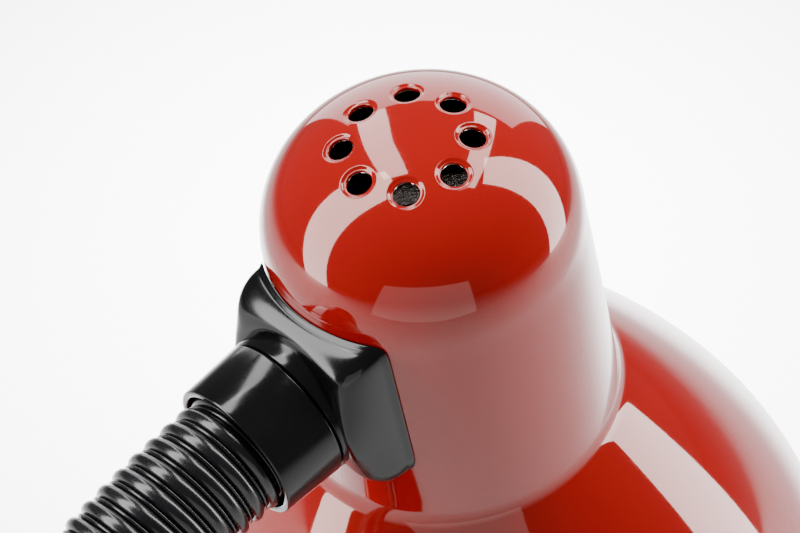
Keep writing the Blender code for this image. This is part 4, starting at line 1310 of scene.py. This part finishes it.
# Lamp holder and bulb ---------------------------------------------------------------------------
@dataclass(frozen=True)
class LampHolder:
    """The screw lamp holder, its mouth towards the shade's opening."""

    radius: float = 0.0200
    top: float = -0.0316
    seam: float = -0.0460
    mouth: float = -0.0760

    def build(self) -> None:
        """Makes and dresses the holder's pieces."""
        profile = tube(THREAD_RADIUS, THREAD_BORE, -0.0365, -0.0250)
        nipple = turned("holder_nipple_tube", profile, HEAD, 0.0003)
        dress(nipple, Finishes.ZINC, Place.HEAD, ["holder_nipple"])
        nut = hexagon_nut("holder_nut_hex", NUT_CORNER, THREAD_HOLE, -0.0295, -0.0265, HEAD)
        dress(nut, Finishes.BLACK_ZINC, Place.HEAD, ["holder_nut"])
        cap = turned(
            "holder_cap_moulding",
            [
                (THREAD_HOLE, self.top), (0.0140, self.top), (0.0175, self.top - 0.0013),
                (self.radius, self.top - 0.0052),
                (self.radius, self.seam), (0.0182, self.seam), (0.0182, self.top - 0.0058),
                (0.0135, self.top - 0.0030), (THREAD_HOLE, self.top - 0.0030),
            ],
            HEAD, 0.0008,
        )
        dress(cap, Finishes.PHENOLIC, Place.HEAD, ["holder_cap"])
        skirt = turned(
            "holder_skirt_moulding",
            [
                (0.0187, self.seam - GAP), (self.radius, self.seam - GAP), (self.radius, -0.0520),
                (0.0192, -0.0545), (0.0192, self.mouth + 0.0010), (0.0186, self.mouth), (0.0160, self.mouth),
                (0.0160, self.mouth + 0.0014), (0.0180, self.mouth + 0.0018), (0.0180, -0.0560),
                (0.0187, -0.0540),
            ],
            HEAD, 0.0005,
        )
        dress(skirt, Finishes.PHENOLIC, Place.HEAD, ["holder_skirt"])
        insert = turned(
            "holder_insert_glazed",
            [
                (0.0020, -0.0468), (0.0176, -0.0468), (0.0176, -0.0736), (0.0145, -0.0736), (0.0145, -0.0492),
                (0.0020, -0.0492),
            ],
            HEAD, 0.0004,
        )
        dress(insert, Finishes.CERAMIC, Place.HEAD, ["holder_insert"])
        grid = screw_shell(0.0139, -0.0730, -0.0530, 0.0003)
        thread = mesh_piece("holder_screw_shell", *merged([(grid, True, True)]), HEAD)
        dress(thread, Finishes.BRASS, Place.HEAD, ["holder_thread"])
        spring = "holder_contact_spring"
        dress_softened(spring, "holder_contact", 0.0001, Finishes.BRASS, Place.HEAD)


def screw_shell(middle: float, low: float, high: float, wall: float) -> Array:
    """A rolled thread's shell as a closed (rows, columns, 3) grid.

    The radius is middle + swing * cos(2 pi z / pitch - angle), so its crests climb by one pitch
    in each turn, and the wave dies away over the last run of each end. The inner wall is the same
    wave, a wall further in.

    Args:
        middle: the wave's mean radius.
        low: the lower end.
        high: the upper end.
        wall: the sheet's thickness.

    Returns:
        The grid, its rows wrapped from the outer wall to the inner.
    """
    pitch, swing, run = 0.0036, 0.00025, 0.0012
    height = np.linspace(low, high, 72)[:, None]
    angle = (TAU * np.arange(FINE) / FINE)[None, :]
    ends = np.clip(np.minimum(height - low, high - height) / run, 0, 1)
    radius = middle + swing * np.cos(TAU * height / pitch - angle) * ends
    both = np.concatenate([radius, (radius - wall)[::-1]])
    heights = np.broadcast_to(np.concatenate([height, height[::-1]]), both.shape)
    angles = np.broadcast_to(angle, both.shape)
    return np.stack([both * np.cos(angles), both * np.sin(angles), heights], -1)


@dataclass(frozen=True)
class Bulb:
    """A small round pearl bulb with a medium screw cap."""

    tip: float = -0.0516
    shell_top: float = -0.0560
    shell_end: float = -0.0740
    shell_radius: float = 0.0131
    globe: float = 0.0225
    end: float = -0.1296
    neck: float = 0.0118
    start: float = -0.0715
    glass: float = 0.0007

    def glass_profile(self) -> Array:
        """The globe with its neck.

        The globe is a circle that leaves for the neck 36 degrees short of the bulb's axis; a cubic
        curve joins it to the neck's straight end and touches both.
        """
        middle = self.end + self.globe
        leave = math.radians(128)
        angle = np.linspace(0, leave, 40)
        ball = np.stack([self.globe * np.sin(angle), middle - self.globe * np.cos(angle)], 1)
        c0, c3 = ball[-1], np.array([self.neck, -0.0775])
        c1 = c0 + 0.005 * np.array([math.cos(leave), math.sin(leave)])
        c2 = c3 + np.array([0, -0.0045])
        t = np.linspace(0, 1, 14)[1:, None]
        join = (1 - t) ** 3 * c0 + 3 * (1 - t) ** 2 * t * c1 + 3 * (1 - t) * t**2 * c2 + t**3 * c3
        outer = np.concatenate([ball, join, [[self.neck, self.start]]])
        along = np.gradient(outer, axis=0)
        along /= np.linalg.norm(along, axis=1)[:, None]
        inner = outer + self.glass * np.stack([-along[:, 1], along[:, 0]], 1)
        inner[0, 0] = 0.0
        inner[-1] = self.neck - self.glass, self.start
        return np.concatenate([outer, inner[::-1]])

    def build(self) -> None:
        """Makes and dresses the bulb's pieces."""
        contact = turned(
            "bulb_contact_button",
            [(0, self.tip), (0.0028, self.tip - 0.0002), (0.0045, self.tip - 0.0010), (0, self.tip - 0.0010)],
            HEAD, 0.0004, 64,
        )
        dress(contact, Finishes.NICKEL, Place.BULB_SLIDE, ["bulb_contact"])
        insulator = turned(
            "bulb_insulator_glass",
            [(0, self.tip - 0.0013), (0.0052, self.tip - 0.0013), (0.0116, self.shell_top + 0.0004),
             (0.0116, self.shell_top - 0.0010), (0, self.shell_top - 0.0010)],
            HEAD, 0.0004, 96,
        )
        dress(insulator, Finishes.BLACK_ABS, Place.BULB, ["bulb_insulator"])
        grid = screw_shell(self.shell_radius - 0.0003, self.shell_end, self.shell_top, 0.0004)
        shell = mesh_piece("bulb_screw_shell", *merged([(grid, True, True)]), HEAD)
        dress(shell, Finishes.NICKEL, Place.BULB, ["bulb_shell"])
        grid = revolve(self.glass_profile(), 160)
        glass = mesh_piece("bulb_glass_pearl", *merged([(grid, False, True)]), HEAD, sharp=75)
        dress(glass, Finishes.PEARL_GLASS, Place.BULB, ["bulb_glass"])
        stem = turned(
            "bulb_stem_mount",
            [(0, -0.0640), (0.0060, -0.0640), (0.0055, -0.0800), (0.0016, -0.0900), (0.0012, -0.1020),
             (0, -0.1020)],
            HEAD, 0.0006, 64,
        )
        dress(stem, Finishes.CERAMIC, Place.BULB, ["bulb_stem"])


# Leads -----------------------------------------------------------------------------------------
@dataclass(frozen=True)
class Leads:
    """The lamp lead from the terminal block up the neck to the holder, and the switch's wires."""

    radius: float = 0.0016
    wire: float = 0.0010
    block_front: float = -0.0040
    block_back: float = 0.0120
    level_z: float = 0.0078
    switch_y: float = -0.0400

    def lead(
        self, name: str, points: Array, place: Place, nodes: Sequence[str] = (), radius: float = 0.0
    ) -> bpy.types.Object:
        """Makes one stretch of lead."""
        grid = swept(points, radius or self.radius)
        piece = mesh_piece(name, *merged([(grid, False, True)]), level(), sharp=60)
        return dress(piece, Finishes.PVC, place, nodes)

    def build(self) -> None:
        """Makes every lead, with one stretch in the neck for each joint."""
        y, z = NECK.foot_y, self.level_z
        foot = np.array(
            [
                [0, self.block_back + GAP, z], [0, 0.020, z], [0, 0.032, 0.0070], [0, 0.0392, 0.0078],
                [0, 0.0417, 0.0115], [0, y, 0.018], [0, y, 0.034], [0, y, NECK.foot_z],
            ]
        )
        self.lead("lamp_lead_in_base", smooth_route(foot, 0.0012), Place.BASE, ["lamp_lead"])
        for k in range(NECK.joints):
            s = np.linspace(k, k + 1, 17) * NECK.spacing
            grid = swept(NECK.along(s)[0], self.radius)
            name = f"lamp_lead_in_neck_{k + 1:02d}"
            piece = mesh_piece(name, *merged([(grid, False, True)]), level(), sharp=60)
            WoundNeck.bend(piece, k)
            dress(piece, Finishes.PVC, None, ())
        collar = HEAD.place([[0, reach, -SOCKET_DEPTH] for reach in (COLLAR_REACH, 0.036, 0.0205)])
        self.lead("lamp_lead_in_collar", smooth_route(collar, 0.002), Place.NECK_END)
        head = HEAD.place(
            [
                [0, yy, zz]
                for yy, zz in (
                    (0.0205, -SOCKET_DEPTH), (0.0145, -0.0152), (0.0085, -0.0122), (0.0035, -0.0125),
                    (0.0004, -0.0165), (0.0, -0.0230), (0.0, -0.0360), (0.0, -0.0450),
                )
            ]
        )
        self.lead("lamp_lead_in_head", smooth_route(head, 0.0012), Place.HEAD)
        for number, side in ((1, -1), (2, 1)):
            x = 0.0038 * side
            route = np.array(
                [
                    [x, self.switch_y + 0.0027, 0.0095], [x * 1.2, self.switch_y + 0.008, 0.0085],
                    [x * 1.7, self.switch_y + 0.020, z], [0.0055 * side, self.block_front - 0.006, z],
                    [0.0055 * side, self.block_front - GAP, z],
                ]
            )
            name, node = f"switch_wire_{number}", f"switch_lead_{number}"
            self.lead(name, smooth_route(route, 0.0012), Place.BASE, [node], self.wire)


# Studio ----------------------------------------------------------------------------------------
@dataclass(frozen=True)
class SoftBox:
    """A soft light, placed in the camera's own frame about the head: right, up and back."""

    name: str
    centre: tuple[float, float, float]
    along: tuple[float, float, float]
    size: tuple[float, float]
    radiance: float
    spread: float = 180.0
    facing: tuple[float, float, float] | None = None

    def place(self, target: Array, axes: Array) -> None:
        """Adds the light, its length along the given direction, facing the target unless told."""
        data = bpy.data.lights.new(self.name, "AREA")
        data.shape = "RECTANGLE"
        data.size, data.size_y = self.size
        data.energy = self.radiance * math.pi * self.size[0] * self.size[1]
        data.spread = math.radians(self.spread)
        lamp = bpy.data.objects.new(self.name, data)
        bpy.context.scene.collection.objects.link(lamp)
        offset = np.array(self.centre) @ axes
        back = offset / np.linalg.norm(offset) if self.facing is None else -np.array(self.facing) @ axes
        long = np.array(self.along) @ axes
        long = long - back * (long @ back)
        long /= np.linalg.norm(long)
        wide = np.cross(long, back)
        turn = Matrix(np.stack([wide, long, back], 1).tolist()).to_4x4()
        lamp.matrix_world = Matrix.Translation(Vector(target + offset)) @ turn
        lamp.visible_camera = False


@dataclass(frozen=True)
class Studio:
    """The floor, world, lights and camera."""

    distance: float = 0.450
    azimuth: float = 225.565
    elevation: float = 42.216
    lens: float = 106.8
    shift: tuple[float, float] = (-0.0295, -0.0498)
    floor_tint: str = "CFCFCF"
    world_tint: str = "FFFFFF"
    world_strength: float = 0.12
    boxes: tuple[SoftBox, ...] = (
        SoftBox("left_strip", (-1.0, 0.35, 0.45), (0, 1.0, 0.45), (0.45, 2.4), 9.0),
        SoftBox("right_strip", (1.0, 0.45, 0.05), (0, 1.0, 0.60), (0.45, 2.4), 9.0),
        SoftBox("overhead_left", (-0.34, 1.0, 0.12), (0.05, 0, 1.0), (0.17, 0.70), 7.5),
        SoftBox("overhead_right", (0.29, 1.0, 0.25), (0, 0, 1.0), (0.19, 0.92), 7.5),
        SoftBox("low_panel", (0.0, -0.68, 0.36), (0, 0.45, 0.89), (0.9, 1.0), 0.7),
        SoftBox("back_panel", (0.02, 0.81, -0.585), (0, 0.74, 0.67), (1.14, 0.86), 2.5),
        SoftBox(
            "floor_wash", (0.0, 0.335, -0.171), (0, 0.672, -0.741), (0.45, 0.45), 17.0, 60.0,
            (0, -0.741, -0.672),
        ),
    )

    def camera_axes(self) -> Array:
        """The camera's right, up and back directions, as rows: azimuth 0 looks along +Y."""
        a, e = math.radians(self.azimuth), math.radians(self.elevation)
        back = np.array([math.sin(a) * math.cos(e), -math.cos(a) * math.cos(e), math.sin(e)])
        right = np.array([math.cos(a), math.sin(a), 0.0])
        return np.stack([right, np.cross(back, right), back])

    def camera(self, axes: Array) -> None:
        """Adds the camera."""
        data = bpy.data.cameras.new("camera")
        data.lens = self.lens
        data.sensor_width = 36
        data.shift_x, data.shift_y = self.shift
        data.clip_start = 0.01
        data.clip_end = 50
        made = bpy.data.objects.new("camera", data)
        bpy.context.scene.collection.objects.link(made)
        turn = Matrix(axes.T.tolist()).to_4x4()
        made.matrix_world = Matrix.Translation(Vector(HEAD.origin + axes[2] * self.distance)) @ turn
        bpy.context.scene.camera = made

    def floor(self) -> None:
        """Adds the pale floor, just below the pad."""
        half = 6.0
        grid = np.array([[[-half, -half, 0], [half, -half, 0]], [[-half, half, 0], [half, half, 0]]])
        piece = mesh_piece("floor", *merged([(grid, False, False)]), level(z=-0.0002))
        made = bpy.data.materials.new("pale_floor")
        made.use_nodes = True
        tree = made.node_tree
        shader = tree.nodes["Principled BSDF"]
        where = add_node(tree, "ShaderNodeTexCoord").outputs["Object"]
        speck = noise(tree, where, 3.0)
        colour = ramp(tree, speck, [(0.3, srgb(self.floor_tint)), (0.8, srgb("CACACA"))])
        tree.links.new(colour, shader.inputs["Base Color"])
        shader.inputs["Roughness"].default_value = 0.8
        piece.data.materials.append(made)

    def world(self) -> None:
        """Sets an even pale world."""
        world = bpy.data.worlds.new("studio")
        world.use_nodes = True
        background = world.node_tree.nodes["Background"]
        background.inputs["Color"].default_value = srgb(self.world_tint)
        background.inputs["Strength"].default_value = self.world_strength
        bpy.context.scene.world = world

    def build(self) -> None:
        """Sets the stage."""
        axes = self.camera_axes()
        self.camera(axes)
        self.floor()
        self.world()
        for box in self.boxes:
            box.place(HEAD.origin, axes)


def main() -> None:
    """Builds every sub-assembly in order."""
    logging.basicConfig(level=logging.INFO, format="%(name)s %(message)s")
    Studio().build()
    for assembly in (Shade(), HeadMount(), WoundNeck(), Base(), LampHolder(), Bulb(), Leads()):
        LOG.info("building %s", type(assembly).__name__)
        assembly.build()


if __name__ == "__main__":
    main()
